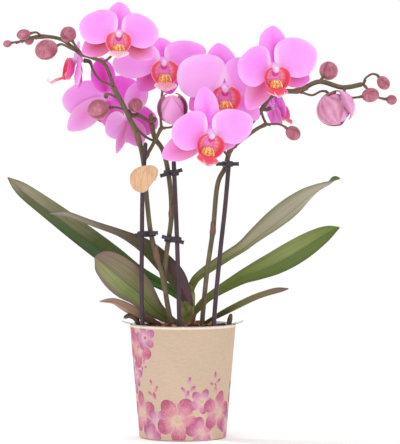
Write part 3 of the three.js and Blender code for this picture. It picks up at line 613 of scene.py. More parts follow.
def barkFinish():
    material, tree, shader = newFinish("bark", *barkLook["surface"])
    place = objectPlace(tree)
    crack = noise(tree, place, *barkLook["cracks"])
    patch = calc(tree, "SUBTRACT", noise(tree, place, *barkLook["patches"]), 0.5)
    streak = calc(tree, "SUBTRACT", crack, 0.5)
    tone = calc(tree, "MULTIPLY_ADD", streak, barkLook["crackShare"], tagValue(tree, "tone"))
    tone = calc(tree, "MULTIPLY_ADD", patch, barkLook["patchShare"], tone, clamp=True)
    dress(tree, shader, ramp(tree, tone, barkLook["tone"]), crack, *barkLook["relief"])
    return material


# Crown: green leaf bases with brown dry edges; dry sheaths and roots are brown and grey
crownLook = {
    "surface": (0.6, 0.35), "fibres": (600.0, 3.0, 0.5, (1.0, 1.0, 0.15)), "patches": (120.0, 3.0),
    "green": [(0.3, (88, 96, 40)), (0.5, (124, 130, 62)), (0.7, (158, 160, 98))],
    "dry": [(0.3, (84, 54, 40)), (0.55, (148, 112, 84)), (0.8, (214, 190, 160))],
    "root": [(0.3, (62, 38, 36)), (0.6, (104, 76, 62)), (0.8, (140, 128, 92))], "relief": (0.4, 0.0005),
}


def crownFinish():
    material, tree, shader = newFinish("crown", *crownLook["surface"])
    place = objectPlace(tree)
    fibre = noise(tree, place, *crownLook["fibres"])
    patch = noise(tree, place, *crownLook["patches"])
    layers = {"dry": ramp(tree, fibre, crownLook["dry"]), "root": ramp(tree, patch, crownLook["root"])}
    shade = overlaid(tree, ramp(tree, patch, crownLook["green"]), layers)
    dress(tree, shader, shade, fibre, *crownLook["relief"])
    return material


# Moulded plastic of stakes and clips: one colour with a faint uneven skin
plasticLook = {
    "gloss": 0.5, "streaks": (900.0, 2.0, 0.5, (1.0, 1.0, 0.05)), "streakShare": 0.4,
    "patches": (60.0, 3.0), "patchShare": 0.6, "edge": (0.3, 0.7), "relief": (0.15, 0.0002),
}


def plasticFinish(name, light, dark, roughness):
    material, tree, shader = newFinish(name, roughness, plasticLook["gloss"])
    place = objectPlace(tree)
    streak = noise(tree, place, *plasticLook["streaks"])
    patch = calc(tree, "MULTIPLY", noise(tree, place, *plasticLook["patches"]), plasticLook["patchShare"])
    share = calc(tree, "MULTIPLY_ADD", streak, plasticLook["streakShare"], patch)
    shade = blendColour(tree, stepMask(tree, share, *plasticLook["edge"]), dark, light)
    dress(tree, shader, shade, streak, *plasticLook["relief"])
    return material


# Wood: rings seen along the grain, a sine of the distance bent by noise, and short dark pores
woodLook = {
    "surface": (0.6, 0.3), "early": (230, 190, 152), "late": (214, 170, 130), "pore": (170, 112, 74),
    "rings": (120.0, 3.0, 0.5, (1.0, 1.0, 0.18)), "ringTurns": 60.0, "poreShare": 0.4,
    "pores": (1600.0, 2.0, 0.5, (1.0, 1.0, 0.08)), "poreEdge": (0.62, 0.75), "relief": (0.1, 0.0002),
}


def woodFinish():
    material, tree, shader = newFinish("tagWood", *woodLook["surface"])
    place = objectPlace(tree)
    bend = noise(tree, place, *woodLook["rings"])
    grain = calc(tree, "SINE", calc(tree, "MULTIPLY", bend, woodLook["ringTurns"]))
    pores = stepMask(tree, noise(tree, place, *woodLook["pores"]), *woodLook["poreEdge"])
    share = calc(tree, "MULTIPLY_ADD", grain, 0.5, 0.5)
    shade = blendColour(tree, share, woodLook["early"], woodLook["late"])
    shade = blendColour(tree, calc(tree, "MULTIPLY", pores, woodLook["poreShare"]), shade, woodLook["pore"])
    dress(tree, shader, shade, grain, *woodLook["relief"])
    return material


# Clear plastic: partly see-through, with a faint cloud in its tone and its gloss
clearLook = {"surface": (0.12, 0.5), "seeThrough": 0.35, "cloud": (140.0, 3.0), "cloudEdge": (0.35, 0.7),
             "light": (240, 244, 242), "dark": (214, 222, 220), "roughness": (0.05, 0.2)}


def clearFinish():
    material, tree, shader = newFinish("clearPlastic", *clearLook["surface"], IOR=1.45,
                                       Transmission_Weight=clearLook["seeThrough"])
    cloud = noise(tree, objectPlace(tree), *clearLook["cloud"])
    share = stepMask(tree, cloud, *clearLook["cloudEdge"])
    shade = blendColour(tree, share, clearLook["light"], clearLook["dark"])
    least, more = clearLook["roughness"]
    tree.links.new(shade, shader.inputs["Base Color"])
    tree.links.new(calc(tree, "MULTIPLY_ADD", cloud, more, least), shader.inputs["Roughness"])
    return material


# The printed shapes: petals in a ring, each an ellipse that leans out from the middle. The angle round
# the middle is folded into one petal, and the ellipse's inside is 1 - ((x-c)/a)^2 - (y/b)^2, where c is
# petalMiddle and a is petalHalf. gap keeps two petals apart.
printForm = {"petalMiddle": 0.56, "petalHalf": 0.44, "gap": (0.49, 0.455), "veins": 17.0, "veinEdge": 0.35,
             "veinShade": 0.22, "outerShade": 0.8}


def buildPrint():
    inputs = {"Around": 0.0, "Up": 0.0, "Middle Around": 0.0, "Middle Up": 0.0, "Size": 12.0, "Turn": 0.0,
              "Petals": 5.0, "Width": 0.33, "Below": 0.0, "Below Shade": 0.0, "Below Hue": 0.0, "Hue": 0.0}
    tree, given, out = newGroup("printedShape", inputs, ["Mask", "Shade", "Hue"])
    x = calc(tree, "SUBTRACT", given["Around"], given["Middle Around"])
    y = calc(tree, "SUBTRACT", given["Up"], given["Middle Up"])
    reach = calc(tree, "SQRT", calc(tree, "MULTIPLY_ADD", x, x, calc(tree, "MULTIPLY", y, y)))
    reach = calc(tree, "DIVIDE", reach, given["Size"])
    angle = calc(tree, "SUBTRACT", calc(tree, "ARCTAN2", y, x), given["Turn"])
    turns = calc(tree, "MULTIPLY", calc(tree, "DIVIDE", angle, tau), given["Petals"])
    fold = calc(tree, "SUBTRACT", calc(tree, "FRACT", calc(tree, "ADD", turns, 8.5)), 0.5)
    petalAngle = calc(tree, "DIVIDE", calc(tree, "MULTIPLY", fold, tau), given["Petals"])
    outward = calc(tree, "MULTIPLY", reach, calc(tree, "COSINE", petalAngle))
    side = calc(tree, "MULTIPLY", reach, calc(tree, "SINE", petalAngle))
    lengthwise = calc(tree, "SUBTRACT", outward, printForm["petalMiddle"])
    lengthwise = calc(tree, "DIVIDE", lengthwise, printForm["petalHalf"])
    crosswise = calc(tree, "DIVIDE", side, given["Width"])
    inside = calc(tree, "SUBTRACT", 1.0, calc(tree, "MULTIPLY", lengthwise, lengthwise))
    inside = calc(tree, "SUBTRACT", inside, calc(tree, "MULTIPLY", crosswise, crosswise))
    gapLine = stepMask(tree, calc(tree, "ABSOLUTE", fold), *printForm["gap"])
    gapLine = calc(tree, "MAXIMUM", gapLine, calc(tree, "LESS_THAN", given["Petals"], 1.5))
    mask = calc(tree, "MULTIPLY", stepMask(tree, inside, 0.0, 0.1), gapLine)
    ribs = calc(tree, "SINE", calc(tree, "MULTIPLY", petalAngle, printForm["veins"]))
    vein = stepMask(tree, calc(tree, "ABSOLUTE", ribs), printForm["veinEdge"], 0.0)
    shade = calc(tree, "MULTIPLY", outward, printForm["outerShade"])
    shade = calc(tree, "MULTIPLY_ADD", vein, printForm["veinShade"], shade)
    keep = calc(tree, "SUBTRACT", 1.0, mask)
    for label, mine in (("Shade", shade), ("Hue", given["Hue"])):
        below = given["Below " + label]
        mixed = calc(tree, "MULTIPLY_ADD", mine, mask, calc(tree, "MULTIPLY", below, keep))
        tree.links.new(mixed, out[label])
    tree.links.new(calc(tree, "MAXIMUM", mask, given["Below"]), out["Mask"])
    return tree


# Cover pot print: where each shape's middle is, round the pot in degrees from the front and up from
# the foot in mm, its size in mm, its turn in degrees, its petals, their width and its hue
potPrint = [
    (-62, 24, 20, 20, 5, 0.34, 0.2), (-34, 16, 14, 50, 5, 0.34, 0.9), (-6, 19, 22, -14, 5, 0.36, 0.1),
    (24, 36, 12, 66, 5, 0.34, 0.7), (24, 8, 15, 30, 5, 0.34, 0.5), (50, 26, 19, 10, 5, 0.35, 0.2),
    (-46, 3, 13, 0, 5, 0.34, 0.7), (78, 12, 16, 40, 5, 0.34, 0.8), (92, 42, 15, 0, 5, 0.34, 0.2),
    (112, 14, 20, 24, 5, 0.34, 0.5), (146, 24, 15, 60, 5, 0.34, 0.1), (172, 14, 21, 6, 5, 0.34, 0.8),
    (204, 28, 14, 30, 5, 0.34, 0.3), (226, 10, 18, 50, 5, 0.34, 0.6), (256, 22, 20, 14, 5, 0.34, 0.1),
    (274, 50, 15, 40, 5, 0.34, 0.9), (286, 86, 18, 12, 5, 0.34, 0.3), (-60, 82, 18, 52, 5, 0.34, 0.1),
    (-70, 58, 12, 8, 5, 0.34, 0.8), (-46, 92, 12, 30, 5, 0.34, 0.9),
]
# Sprigs of the print: round, up, the way they lean in degrees, their length in mm and their hue. Each
# leaflet has its place, its turn and its size, place and size as shares of that length.
potSprigs = [(-34, 34, 104, 20, 0.2), (4, 36, 80, 21, 0.8), (44, 42, 96, 19, 0.3), (-56, 58, 70, 15, 0.9),
             (84, 36, 84, 20, 0.7), (134, 38, 100, 21, 0.2), (186, 34, 82, 20, 0.9), (240, 36, 98, 20, 0.3)]
sprigLeaflets = [(0.0, 0, 0.5), (0.3, 48, 0.42), (0.42, -48, 0.42), (0.62, 0, 0.45)]
leafletWidth = 0.17
paperLook = {
    "paper": [(0.3, (196, 170, 146)), (0.55, (205, 181, 158)), (0.8, (215, 194, 174))],
    "pink": [(0.0, (222, 196, 168)), (0.25, (214, 150, 158)), (0.6, (192, 92, 128)), (1.0, (140, 44, 84))],
    "lilac": [(0.0, (224, 200, 182)), (0.25, (210, 158, 190)), (0.6, (186, 108, 158)), (1.0, (130, 58, 104))],
    "cut": (246, 232, 214), "middleRadius": 43.0, "surface": (0.8, 0.25), "relief": (0.25, 0.0003),
    "fibres": (420.0, 4.0, 0.6, (0.5, 0.5, 3.0)), "flecks": (1500.0, 2.0), "fleckShare": 0.3,
    "wash": (140.0, 4.0, 0.6), "washShare": 0.9, "waver": (90.0, 2.0), "waverReach": 2.4, "inkShare": 0.9,
}


# The leaflets as printed shapes of one petal each, in the form that potPrint has
def sprigShapes():
    shapes = []
    for degrees, height, lean, length, hue in potSprigs:
        for share, turn, size in sprigLeaflets:
            reach = share * length
            aside = math.degrees(reach * math.cos(math.radians(lean)) / paperLook["middleRadius"])
            rise = reach * math.sin(math.radians(lean))
            shapes.append((degrees + aside, height + rise, size * length, lean + turn, 1, leafletWidth, hue))
    return shapes


# Kraft paper: fibres and flecks, with the printed shapes one over another on the outer face. Noise
# wavers their outlines and washes their ink.
def paperFinish():
    printed = buildPrint()
    material, tree, shader = newFinish("kraftPaper", *paperLook["surface"])
    place = objectPlace(tree)
    parts = addNode(tree, "SeparateXYZ", {0: place}).outputs
    angle = calc(tree, "ARCTAN2", parts["X"], calc(tree, "MULTIPLY", parts["Y"], -1.0))
    around = calc(tree, "MULTIPLY", angle, paperLook["middleRadius"])
    up = calc(tree, "MULTIPLY", parts["Z"], 1000.0)
    wash = calc(tree, "SUBTRACT", noise(tree, place, *paperLook["wash"]), 0.5)
    waver = calc(tree, "SUBTRACT", noise(tree, place, *paperLook["waver"]), 0.5)
    waver = calc(tree, "MULTIPLY", waver, paperLook["waverReach"])
    bentAround = calc(tree, "ADD", around, waver)
    bentUp = calc(tree, "SUBTRACT", up, waver)
    below = {"Below": 0.0, "Below Shade": 0.0, "Below Hue": 0.0}
    for degrees, height, size, turn, petals, width, hue in sprigShapes() + potPrint:
        middle = math.radians((degrees + 180) % 360 - 180) * paperLook["middleRadius"]
        shape = useGroup(tree, printed, {"Around": bentAround, "Up": bentUp, "Middle Around": middle,
                                         "Middle Up": height, "Size": size, "Turn": math.radians(turn),
                                         "Petals": petals, "Width": width, "Hue": hue, **below})
        below = {"Below": shape["Mask"], "Below Shade": shape["Shade"], "Below Hue": shape["Hue"]}
    fibre = noise(tree, place, *paperLook["fibres"])
    fleck = noise(tree, place, *paperLook["flecks"])
    grain = calc(tree, "MULTIPLY", fibre, 1 - paperLook["fleckShare"])
    grain = calc(tree, "MULTIPLY_ADD", fleck, paperLook["fleckShare"], grain)
    paper = ramp(tree, grain, paperLook["paper"])
    depth = calc(tree, "MULTIPLY_ADD", wash, paperLook["washShare"], below["Below Shade"], clamp=True)
    ink = blendColour(tree, below["Below Hue"], ramp(tree, depth, paperLook["pink"]),
                      ramp(tree, depth, paperLook["lilac"]))
    outer = stepMask(tree, tagValue(tree, "outer"), 0.4, 0.6)
    share = calc(tree, "MULTIPLY", calc(tree, "MULTIPLY", below["Below"], outer), paperLook["inkShare"])
    shade = blendColour(tree, share, paper, ink)
    shade = blendColour(tree, tagValue(tree, "cut"), shade, paperLook["cut"])
    dress(tree, shader, shade, fibre, *paperLook["relief"])
    return material


petal = flowerFinish("petal", petalLook)
lipLobe = flowerFinish("lipLobe", lipLook)
lipCallus = callusFinish()
column = columnFinish()
budSkin = budFinish()
stemSkin = stemFinish()
bark = barkFinish()
crownSkin = crownFinish()
stakePlastic = plasticFinish("stakePlastic", (76, 50, 62), (50, 30, 41), 0.36)
clipPlastic = plasticFinish("clipPlastic", (66, 52, 70), (38, 26, 40), 0.32)
tagWood = woodFinish()
clearPlastic = clearFinish()
kraftPaper = paperFinish()
print("finishes made")


# Cover pot: a turned cone of paper with a rounded foot and a rolled rim
pot = {"height": 102, "rimRadius": 47.7, "footRadius": 39.3, "footRound": 2.2, "wall": 0.9, "floor": 1.3,
       "gap": 0.35, "sides": 160}


def coverPot():
    bend = np.radians(np.linspace(0, 90, 9))
    foot = np.stack([pot["footRadius"] - pot["footRound"] * (1 - np.sin(bend)),
                     pot["footRound"] * (1 - np.cos(bend))], axis=1)
    rim = pot["rimRadius"] + 0.2
    roll = [[rim - 0.4, pot["height"] - 2.4], [rim - 0.1, pot["height"] - 2.2], [rim, pot["height"] - 1.6],
            [rim, pot["height"] - 0.3], [rim - 0.25, pot["height"]], [rim - 0.8, pot["height"]],
            [rim - 1.1, pot["height"] - 0.3]]
    inner = [[pot["footRadius"] - pot["wall"] - 0.2, pot["floor"] + 0.8],
             [pot["footRadius"] - pot["wall"] - 1, pot["floor"]], [nearAxis, pot["floor"]]]
    profile = denser([[nearAxis, 0], *foot.tolist(), *roll, *inner], 3.0)
    radius, top = profile.T
    wallRadius = np.interp(top, [0, pot["height"]], [pot["footRadius"], pot["rimRadius"]]) - 0.5 * pot["wall"]
    outer = (radius > wallRadius).astype(float)[:, None]
    cut = (smoothstep(pot["height"] - 2.2, pot["height"] - 1.2, top) * 0.9)[:, None]
    return [turned(profile, pot["sides"], {"outer": outer, "cut": cut})]


makePiece("paperCover", coverPot(), [kraftPaper], "kraft_paper", "paper_pot")


# Grow pot: a thin clear cone inside the paper, with two ears that lie over the rim
grow = {"top": 102.6, "rimRadius": 45.9, "footRadius": 37.4, "wall": 0.9, "earReach": 55, "earWidth": 15,
        "earLift": 0.22, "earRise": 2.4}


def clearPot():
    foot = pot["floor"] + pot["gap"]
    wall = grow["wall"]
    profile = [[nearAxis, foot], [grow["footRadius"], foot], [grow["rimRadius"], grow["top"] - 0.3],
               [grow["rimRadius"] - 0.3, grow["top"]], [grow["rimRadius"] - wall, grow["top"] - 0.2],
               [grow["footRadius"] - wall, foot + wall], [nearAxis, foot + wall]]
    parts = [turned(denser(profile, 6.0), 120)]
    for turn in (0, math.pi):
        t, s = bladeGrid(14, 15, eased=False)
        start = grow["rimRadius"] - wall + 0.3
        out = start + (grow["earReach"] - start) * t
        side = s * grow["earWidth"] * np.sqrt(1 - 0.9 * t**4) / 2
        height = grow["top"] + grow["earLift"] + grow["earRise"] * t * t
        surface = np.stack([out, side, height], axis=-1) @ turnAbout(2, turn).T
        parts.append(blade(surface, wall, {}))
    return parts


makePiece("growPot", clearPot(), [clearPlastic], "clear_plastic", "grow_pot")


# Bark: a fill up to below the rim, heaped with chips, which follow each other round by the golden angle.
# A chip is a rounded box that a sine bends and whose faces are dented by sines, and it has its own tone,
# size and turn.
barkHeap = {"fill": 92, "fillTone": 0.12, "radius": 43.5, "highest": 99.5, "rise": (1, 8), "heap": 2.5,
            "chips": 190, "size": 13, "sizes": (0.55, 1.25), "breadths": (0.4, 0.75), "heights": (0.12, 0.28),
            "tones": (0.2, 0.85), "tilt": 0.5, "dents": 0.09, "bend": 0.05, "boxPower": 0.45,
            "turnStep": 2.39996}


def barkChip(place, size, tone):
    chip = ball((0, 0, 0), (1, 1, 1), 9, barkHeap["boxPower"], {"tone": tone})
    points = chip["points"]
    phase = rng.uniform(0, tau, 6)
    dent = (np.sin(3.1 * points[:, :1] + phase[0]) * np.sin(4.3 * points[:, 1:2] + phase[1])
            + 0.7 * np.sin(6.7 * points[:, 1:2] + phase[2] + 2 * points[:, :1]))
    breadth, height = rng.uniform(*barkHeap["breadths"]), rng.uniform(*barkHeap["heights"])
    points = points * np.array([size, size * breadth, size * height]) / 2 * (1 + barkHeap["dents"] * dent)
    points[:, 2:] += barkHeap["bend"] * size * np.sin(points[:, :1] * 5.2 / size + phase[3])
    lean = barkHeap["tilt"]
    tilt, roll, turn = rng.uniform(-lean, lean), rng.uniform(-lean, lean), rng.uniform(0, tau)
    about = turnAbout(2, turn) @ turnAbout(1, roll) @ turnAbout(0, tilt)
    return placed({**chip, "points": points}, about, place)


def barkBed():
    floor = pot["floor"] + 2 * pot["gap"] + grow["wall"]
    fill = [[nearAxis, floor], [grow["footRadius"] - 1.5, floor],
            [barkHeap["radius"] - 0.4, barkHeap["fill"]], [nearAxis, barkHeap["fill"]]]
    parts = [turned(denser(fill, 8.0), 64, {"tone": barkHeap["fillTone"]})]
    for k in range(barkHeap["chips"]):
        size = barkHeap["size"] * rng.uniform(*barkHeap["sizes"])
        reach = (barkHeap["radius"] - size * 0.5) * math.sqrt((k + 0.5) / barkHeap["chips"])
        angle = k * barkHeap["turnStep"]
        heap = barkHeap["heap"] * (1 - reach / barkHeap["radius"])
        height = barkHeap["fill"] + rng.uniform(*barkHeap["rise"]) + heap
        place = (reach * math.cos(angle), reach * math.sin(angle), min(height, barkHeap["highest"]))
        parts.append(barkChip(place, size, rng.uniform(*barkHeap["tones"])))
    return parts


makePiece("barkBed", barkBed(), [bark], "bark", "bark")
print("pot and bark made")


# Crown: the short stem with its fan of leaf bases, which is a cosine of three turns, two dry sheaths, and
# the roots, whose radius swells and thins by sines along them
crown = {
    "profile": [[0.1, 84], [5, 84], [6.4, 94], [6.8, 118], [6.2, 129], [3.8, 136], [0.2, 139]],
    "place": (4.2, 6, 0), "rootRadius": 2.2, "fan": 0.1, "sheaths": (200, 320),
    "sheath": {"foot": 95, "height": 17, "radius": 6, "flare": 3, "halfAngle": 0.75, "thickness": 0.9},
    "roots": [
        [[6, 6, 90], [-16, 4, 86], [-36, -4, 90], [-39, -8.5, 99], [-42.2, -12.5, 107.5], [-48, -14.5, 110.5],
         [-53, -15.5, 108.5]],
        [[8, 6, 92], [24, 2, 84], [37, -4, 88], [41, -6.5, 97], [42, -7, 105], [43.5, -7.5, 112]],
        [[8, 2, 95], [8, -8, 99], [10, -18, 97], [13, -27, 88]],
        [[4, 10, 95], [0, 20, 100], [-6, 29, 97], [-9, 34, 88]],
        [[12, 10, 94], [22, 16, 99], [29, 20, 96], [32, 22, 88]],
    ],
}


# Rounded ends: over that share of a path at either end the radius falls off as a quarter circle does
def roundedEnds(count, share):
    at = np.linspace(0, 1, count)
    return rounded(1 - np.clip(np.minimum(at, 1 - at) / share, 0, 1), 2, 0.02)


def crownParts():
    profile = np.clip(smoothProfile(crown["profile"], 60), 0.05, None)
    stem = turned(profile, 48, {"dry": 0.0, "root": 0.0})
    points = stem["points"]
    angle = np.arctan2(points[:, 1], points[:, 0])
    fan = np.cos(3 * angle + 0.12 * (points[:, 2] - 84)) * smoothstep(92, 112, points[:, 2])
    fan = 1 + crown["fan"] * fan
    points[:, :2] *= fan[:, None]
    stem["tags"]["dry"] = 0.75 * smoothstep(112, 98, points[:, 2]) + 0.35 * smoothstep(1.06, 1.1, fan)
    parts = [stem]
    sheath = crown["sheath"]
    for degrees in crown["sheaths"]:
        t, s = bladeGrid(30, 21, eased=False)
        around = math.radians(degrees) + s * sheath["halfAngle"] * (1 - 0.85 * t)
        reach = sheath["radius"] + sheath["flare"] * t * t + 0.35 * np.sin(9 * s + 7 * t)
        height = sheath["foot"] + sheath["height"] * t - 1.5 * s * s * t
        surface = np.stack([reach * np.cos(around), reach * np.sin(around), height], axis=-1)
        parts.append(blade(surface, sheath["thickness"], {"dry": 1.0, "root": 0.0}))
    parts = [placed(part, np.eye(3), crown["place"]) for part in parts]
    for points in crown["roots"]:
        path = evenPath(points, 60)
        bumps = 1 + 0.07 * np.sin(np.linspace(0, 24, 60)) + 0.05 * np.sin(np.linspace(1, 57, 60))
        radius = crown["rootRadius"] * bumps * roundedEnds(60, share=0.05)
        parts.append(tube(path, radius, 16, {"root": 1.0, "dry": 0.0}))
    return parts


makePiece("crown", crownParts(), [crownSkin], "crown", "crown")


# Leaves: every station has the place of the midrib, the half width and the lean of the blade out of the
# picture plane in degrees. high and low are the colours along the half that lies higher and lower, line is
# that of the veins and hidden the two of the far face. The pale grey runs of leaves 1 and 6 are painted
# sheen. On leaf 5 painted sheen lies over the grey-taupe of the underside. On leaf 2 the pale grey of one
# half is painted light and the darker brown of the other is painted shade.
leaves = [
    {"stations": [[2, 9, 120, 3.5, 36], [-4, 12.3, 127, 4.5, 39], [-18, 14.5, 136, 6, 42],
                  [-41, 20, 147.5, 9.5, 48], [-64, 26, 161.5, 15.5, 54], [-88, 32, 179, 17, 57],
                  [-115, 41, 199, 16.3, 57], [-141, 47, 217.5, 13, 57], [-152, 48.5, 226, 8.5, 57],
                  [-161, 49.5, 233.5, 0.7, 57]],
     "fold": 0.2,
     # painted sheen: the pale grey of the outer part of both halves
     "high": [(0, (74, 122, 20)), (0.3, (54, 94, 14)), (0.5, (74, 92, 38)), (0.62, (118, 120, 84)),
              (0.8, (162, 158, 130)), (1, (140, 134, 104))],
     "low": [(0, (74, 122, 20)), (0.35, (48, 96, 10)), (0.6, (54, 86, 14)), (0.78, (92, 98, 56)),
             (0.92, (146, 142, 116)), (1, (112, 104, 78))],
     "margin": (64, 68, 34), "marginShare": 0.4, "rib": (50, 66, 22), "line": (48, 66, 26),
     "hidden": ((108, 90, 82), (132, 114, 96))},
    {"stations": [[6, 1.5, 117, 4, -15], [2, 0, 129, 6.2, -18], [-5, 0, 143, 9.6, -25],
                  [-13, 2, 152.5, 10.8, -32], [-32, 6, 170.5, 11.2, -50], [-55, 6, 183.5, 10.4, -69],
                  [-81, 4.3, 193.5, 9.4, -75], [-103, 2, 202, 8.7, -78], [-112, 0.8, 202.6, 7.4, -78],
                  [-119.5, 0, 202, 1.5, -75]],
     "fold": 0.25,
     # painted light on the paler grey half and painted shade on the darker brown half
     "high": [(0, (112, 76, 96)), (0.26, (96, 66, 76)), (0.4, (80, 72, 44)), (0.55, (112, 98, 84)),
              (0.8, (146, 136, 122)), (1, (118, 104, 92))],
     "low": [(0, (104, 70, 88)), (0.25, (84, 76, 44)), (0.42, (92, 88, 50)), (0.58, (140, 126, 112)),
             (0.85, (164, 154, 140)), (1, (132, 118, 104))],
     "margin": (84, 70, 56), "marginShare": 0.65, "rib": (74, 66, 42), "line": (84, 76, 60),
     "hidden": ((52, 78, 26), (76, 104, 36))},
    {"stations": [[-2, 6, 100.5, 3, -8], [-11, 4.4, 105.5, 4, -10], [-25, -0.3, 115.5, 8.5, -14],
                  [-38.5, -5.4, 131, 14.3, -18], [-48, -10.4, 139.5, 17.2, -20],
                  [-57.5, -15.4, 148, 17.7, -22], [-66, -19.6, 155.5, 15.3, -22],
                  [-73, -23, 161, 10.4, -22], [-78, -25, 164, 1.7, -22]],
     "fold": 0.12,
     "high": [(0, (110, 118, 60)), (0.35, (130, 132, 88)), (0.65, (132, 122, 98)), (1, (128, 102, 98))],
     "low": [(0, (120, 128, 66)), (0.35, (142, 156, 94)), (0.7, (138, 144, 96)), (1, (134, 116, 98))],
     "margin": (128, 96, 98), "marginShare": 0.85, "rib": (72, 88, 38), "line": (96, 110, 54),
     "hidden": ((56, 84, 28), (80, 108, 38))},
    {"stations": [[-16, -5, 98.5, 1.8, -30], [-25.5, -10.7, 104.5, 3.5, -35],
                  [-34.5, -13.2, 109, 4.7, -35], [-43.5, -15.8, 114.5, 5.6, -36],
                  [-53, -19, 120, 5.5, -38], [-61, -23, 124, 3.9, -40], [-68, -26, 124.6, 2.3, -40],
                  [-74, -28, 124, 0.5, -40]],
     "fold": 0.15,
     "high": [(0, (86, 66, 46)), (0.4, (134, 104, 84)), (1, (176, 140, 128))],
     "low": [(0, (92, 74, 52)), (0.4, (152, 124, 104)), (1, (188, 152, 140))],
     "margin": (116, 84, 74), "marginShare": 0.6, "rib": (118, 86, 70), "line": (120, 94, 78),
     "hidden": ((90, 78, 44), (114, 98, 58))},
    {"stations": [[6, 7, 127, 3, -16], [9, 7, 138, 3.9, -22], [16.5, 6, 147, 4.5, -28],
                  [39, 4.4, 162.5, 6.8, -44], [53.5, 0.4, 172, 8.4, -50], [66, -5, 183, 11.6, -54],
                  [82, -12.3, 196.5, 16.3, -57], [96.5, -19.2, 208.5, 17.5, -58],
                  [109, -27, 219, 14.8, -62], [120, -33.7, 226, 10.9, -70],
                  [128.5, -38.8, 230.5, 7.4, -84], [134.5, -41, 234, 5.1, -112],
                  [139.5, -42, 234, 1, -120]],
     "fold": 0.2,
     # painted sheen over the grey-taupe of the underside
     "high": [(0, (100, 84, 42)), (0.15, (122, 126, 66)), (0.35, (158, 150, 126)), (0.8, (170, 161, 144)),
              (1, (100, 94, 62))],
     "low": [(0, (100, 102, 40)), (0.28, (126, 136, 74)), (0.5, (166, 158, 136)), (0.8, (174, 166, 146)),
             (1, (120, 116, 80))],
     "margin": (84, 92, 40), "marginShare": 0.65, "rib": (88, 98, 46), "line": (112, 108, 84),
     "hidden": ((56, 84, 28), (80, 108, 38))},
    {"stations": [[8, 10, 109, 3, 34], [16, 13, 118.5, 4.2, 37], [25.5, 13.6, 127, 4.7, 40],
                  [51, 16, 142, 8.2, 45], [67, 18.6, 149, 11.9, 48], [83, 22, 156, 15.3, 51],
                  [98, 26, 164, 17.6, 53], [112, 30, 172, 17.5, 54], [124, 33, 179, 14.3, 55],
                  [134, 35.6, 184.5, 8.7, 55], [143, 37.6, 188, 0.9, 55]],
     "fold": 0.14,
     # painted sheen: the pale green of the upper half near 0.6
     "high": [(0, (106, 106, 44)), (0.3, (104, 120, 48)), (0.6, (142, 154, 92)), (1, (104, 124, 50))],
     "low": [(0, (108, 102, 46)), (0.3, (94, 110, 36)), (0.6, (96, 118, 44)), (1, (86, 106, 36))],
     "margin": (88, 92, 46), "marginShare": 0.55, "rib": (62, 86, 32), "line": (136, 158, 96),
     "hidden": ((116, 98, 80), (136, 118, 98))},
    {"stations": [[9, 4, 98, 2.2, -58], [18, 3.5, 102, 2.7, -58], [24.5, 3, 105.5, 3.6, -60],
                  [39.5, -2, 114, 6, -62], [61, -12.6, 125.5, 7.6, -66], [73, -17.4, 130.5, 8.6, -68],
                  [84, -21.5, 133.7, 7.9, -70], [94.5, -25, 135.4, 1.5, -70]],
     "fold": 0.2,
     "high": [(0, (78, 78, 38)), (0.4, (90, 100, 46)), (0.75, (108, 96, 62)), (1, (112, 80, 98))],
     "low": [(0, (106, 90, 58)), (0.4, (146, 128, 98)), (0.8, (160, 134, 112)), (1, (122, 92, 106))],
     "margin": (112, 94, 68), "marginShare": 0.55, "rib": (92, 90, 46), "line": (118, 102, 76),
     "hidden": ((56, 84, 28), (80, 108, 38))},
]
leafForm = {"thickness": 1.9, "groove": 0.45, "grooveHalf": 0.07, "ripple": 0.035, "rippleTurns": 13}


# A leaf: the place across the blade runs from the midrib along the lean, and the two halves fold down
# from it by fold times the half width. The midrib is a groove above and a keel below, and the margins
# ripple by a sine along the blade.
def leafBlade(leaf):
    stations = np.asarray(leaf["stations"], float)
    rows, columns = 150, 41
    line = smoothPath(stations[:, :3], rows, uniform=True)
    form = smoothPath(stations[:, 3:], rows, uniform=True)
    ahead = unit(np.gradient(line, axis=0))
    inPlane = unit(np.stack([-ahead[:, 2], np.zeros(rows), ahead[:, 0]], axis=1))
    inPlane = np.where(inPlane[:, 2:] < 0, -inPlane, inPlane)
    lean = np.radians(form[:, 1])[:, None]
    depth = np.array([[0.0, 1.0, 0.0]])
    across = inPlane * np.cos(lean) + depth * np.sin(lean)
    upward = inPlane * np.abs(np.sin(lean)) - depth * np.sign(lean) * np.cos(lean)
    t = np.linspace(0, 1, rows)[:, None]
    s = np.sin(np.linspace(-math.pi / 2, math.pi / 2, columns))[None]
    half = form[:, :1]
    sink = leaf["fold"] * (np.sqrt(s * s + 0.003) - 1) * half
    groove = -leafForm["groove"] * np.exp(-((s / leafForm["grooveHalf"]) ** 2))
    groove = groove * smoothstep(0, 0.1, t) * smoothstep(1, 0.9, t)
    ripple = leafForm["ripple"] * half * np.abs(s) ** 1.5 * smoothstep(0, 0.3, t)
    ripple = ripple * np.sin(leafForm["rippleTurns"] * t + 2 * np.sign(s))
    surface = (line[:, None] + across[:, None] * (s * half)[..., None]
               + upward[:, None] * (sink + groove + ripple)[..., None])
    thickness = leafForm["thickness"] * (1 - 0.5 * s * s)
    thickness = thickness * rounded(s, 8) * rounded(t, 12) * rounded(1 - t, 60)
    part = blade(surface, thickness, {"along": t, "across": s})
    normal = np.cross(np.gradient(surface, axis=0), np.gradient(surface, axis=1))
    front = part["tags"]["front"]
    part["tags"]["shown"] = front if normal[..., 1].mean() < 0 else 1 - front
    return part


for number, leaf in enumerate(leaves, 1):
    finish = leafFinish(f"leaf{number}", leaf)
    makePiece(f"leafBlade_{number}", [leafBlade(leaf)], [finish], "leaf", f"leaf_{number}")
print("crown and leaves made")


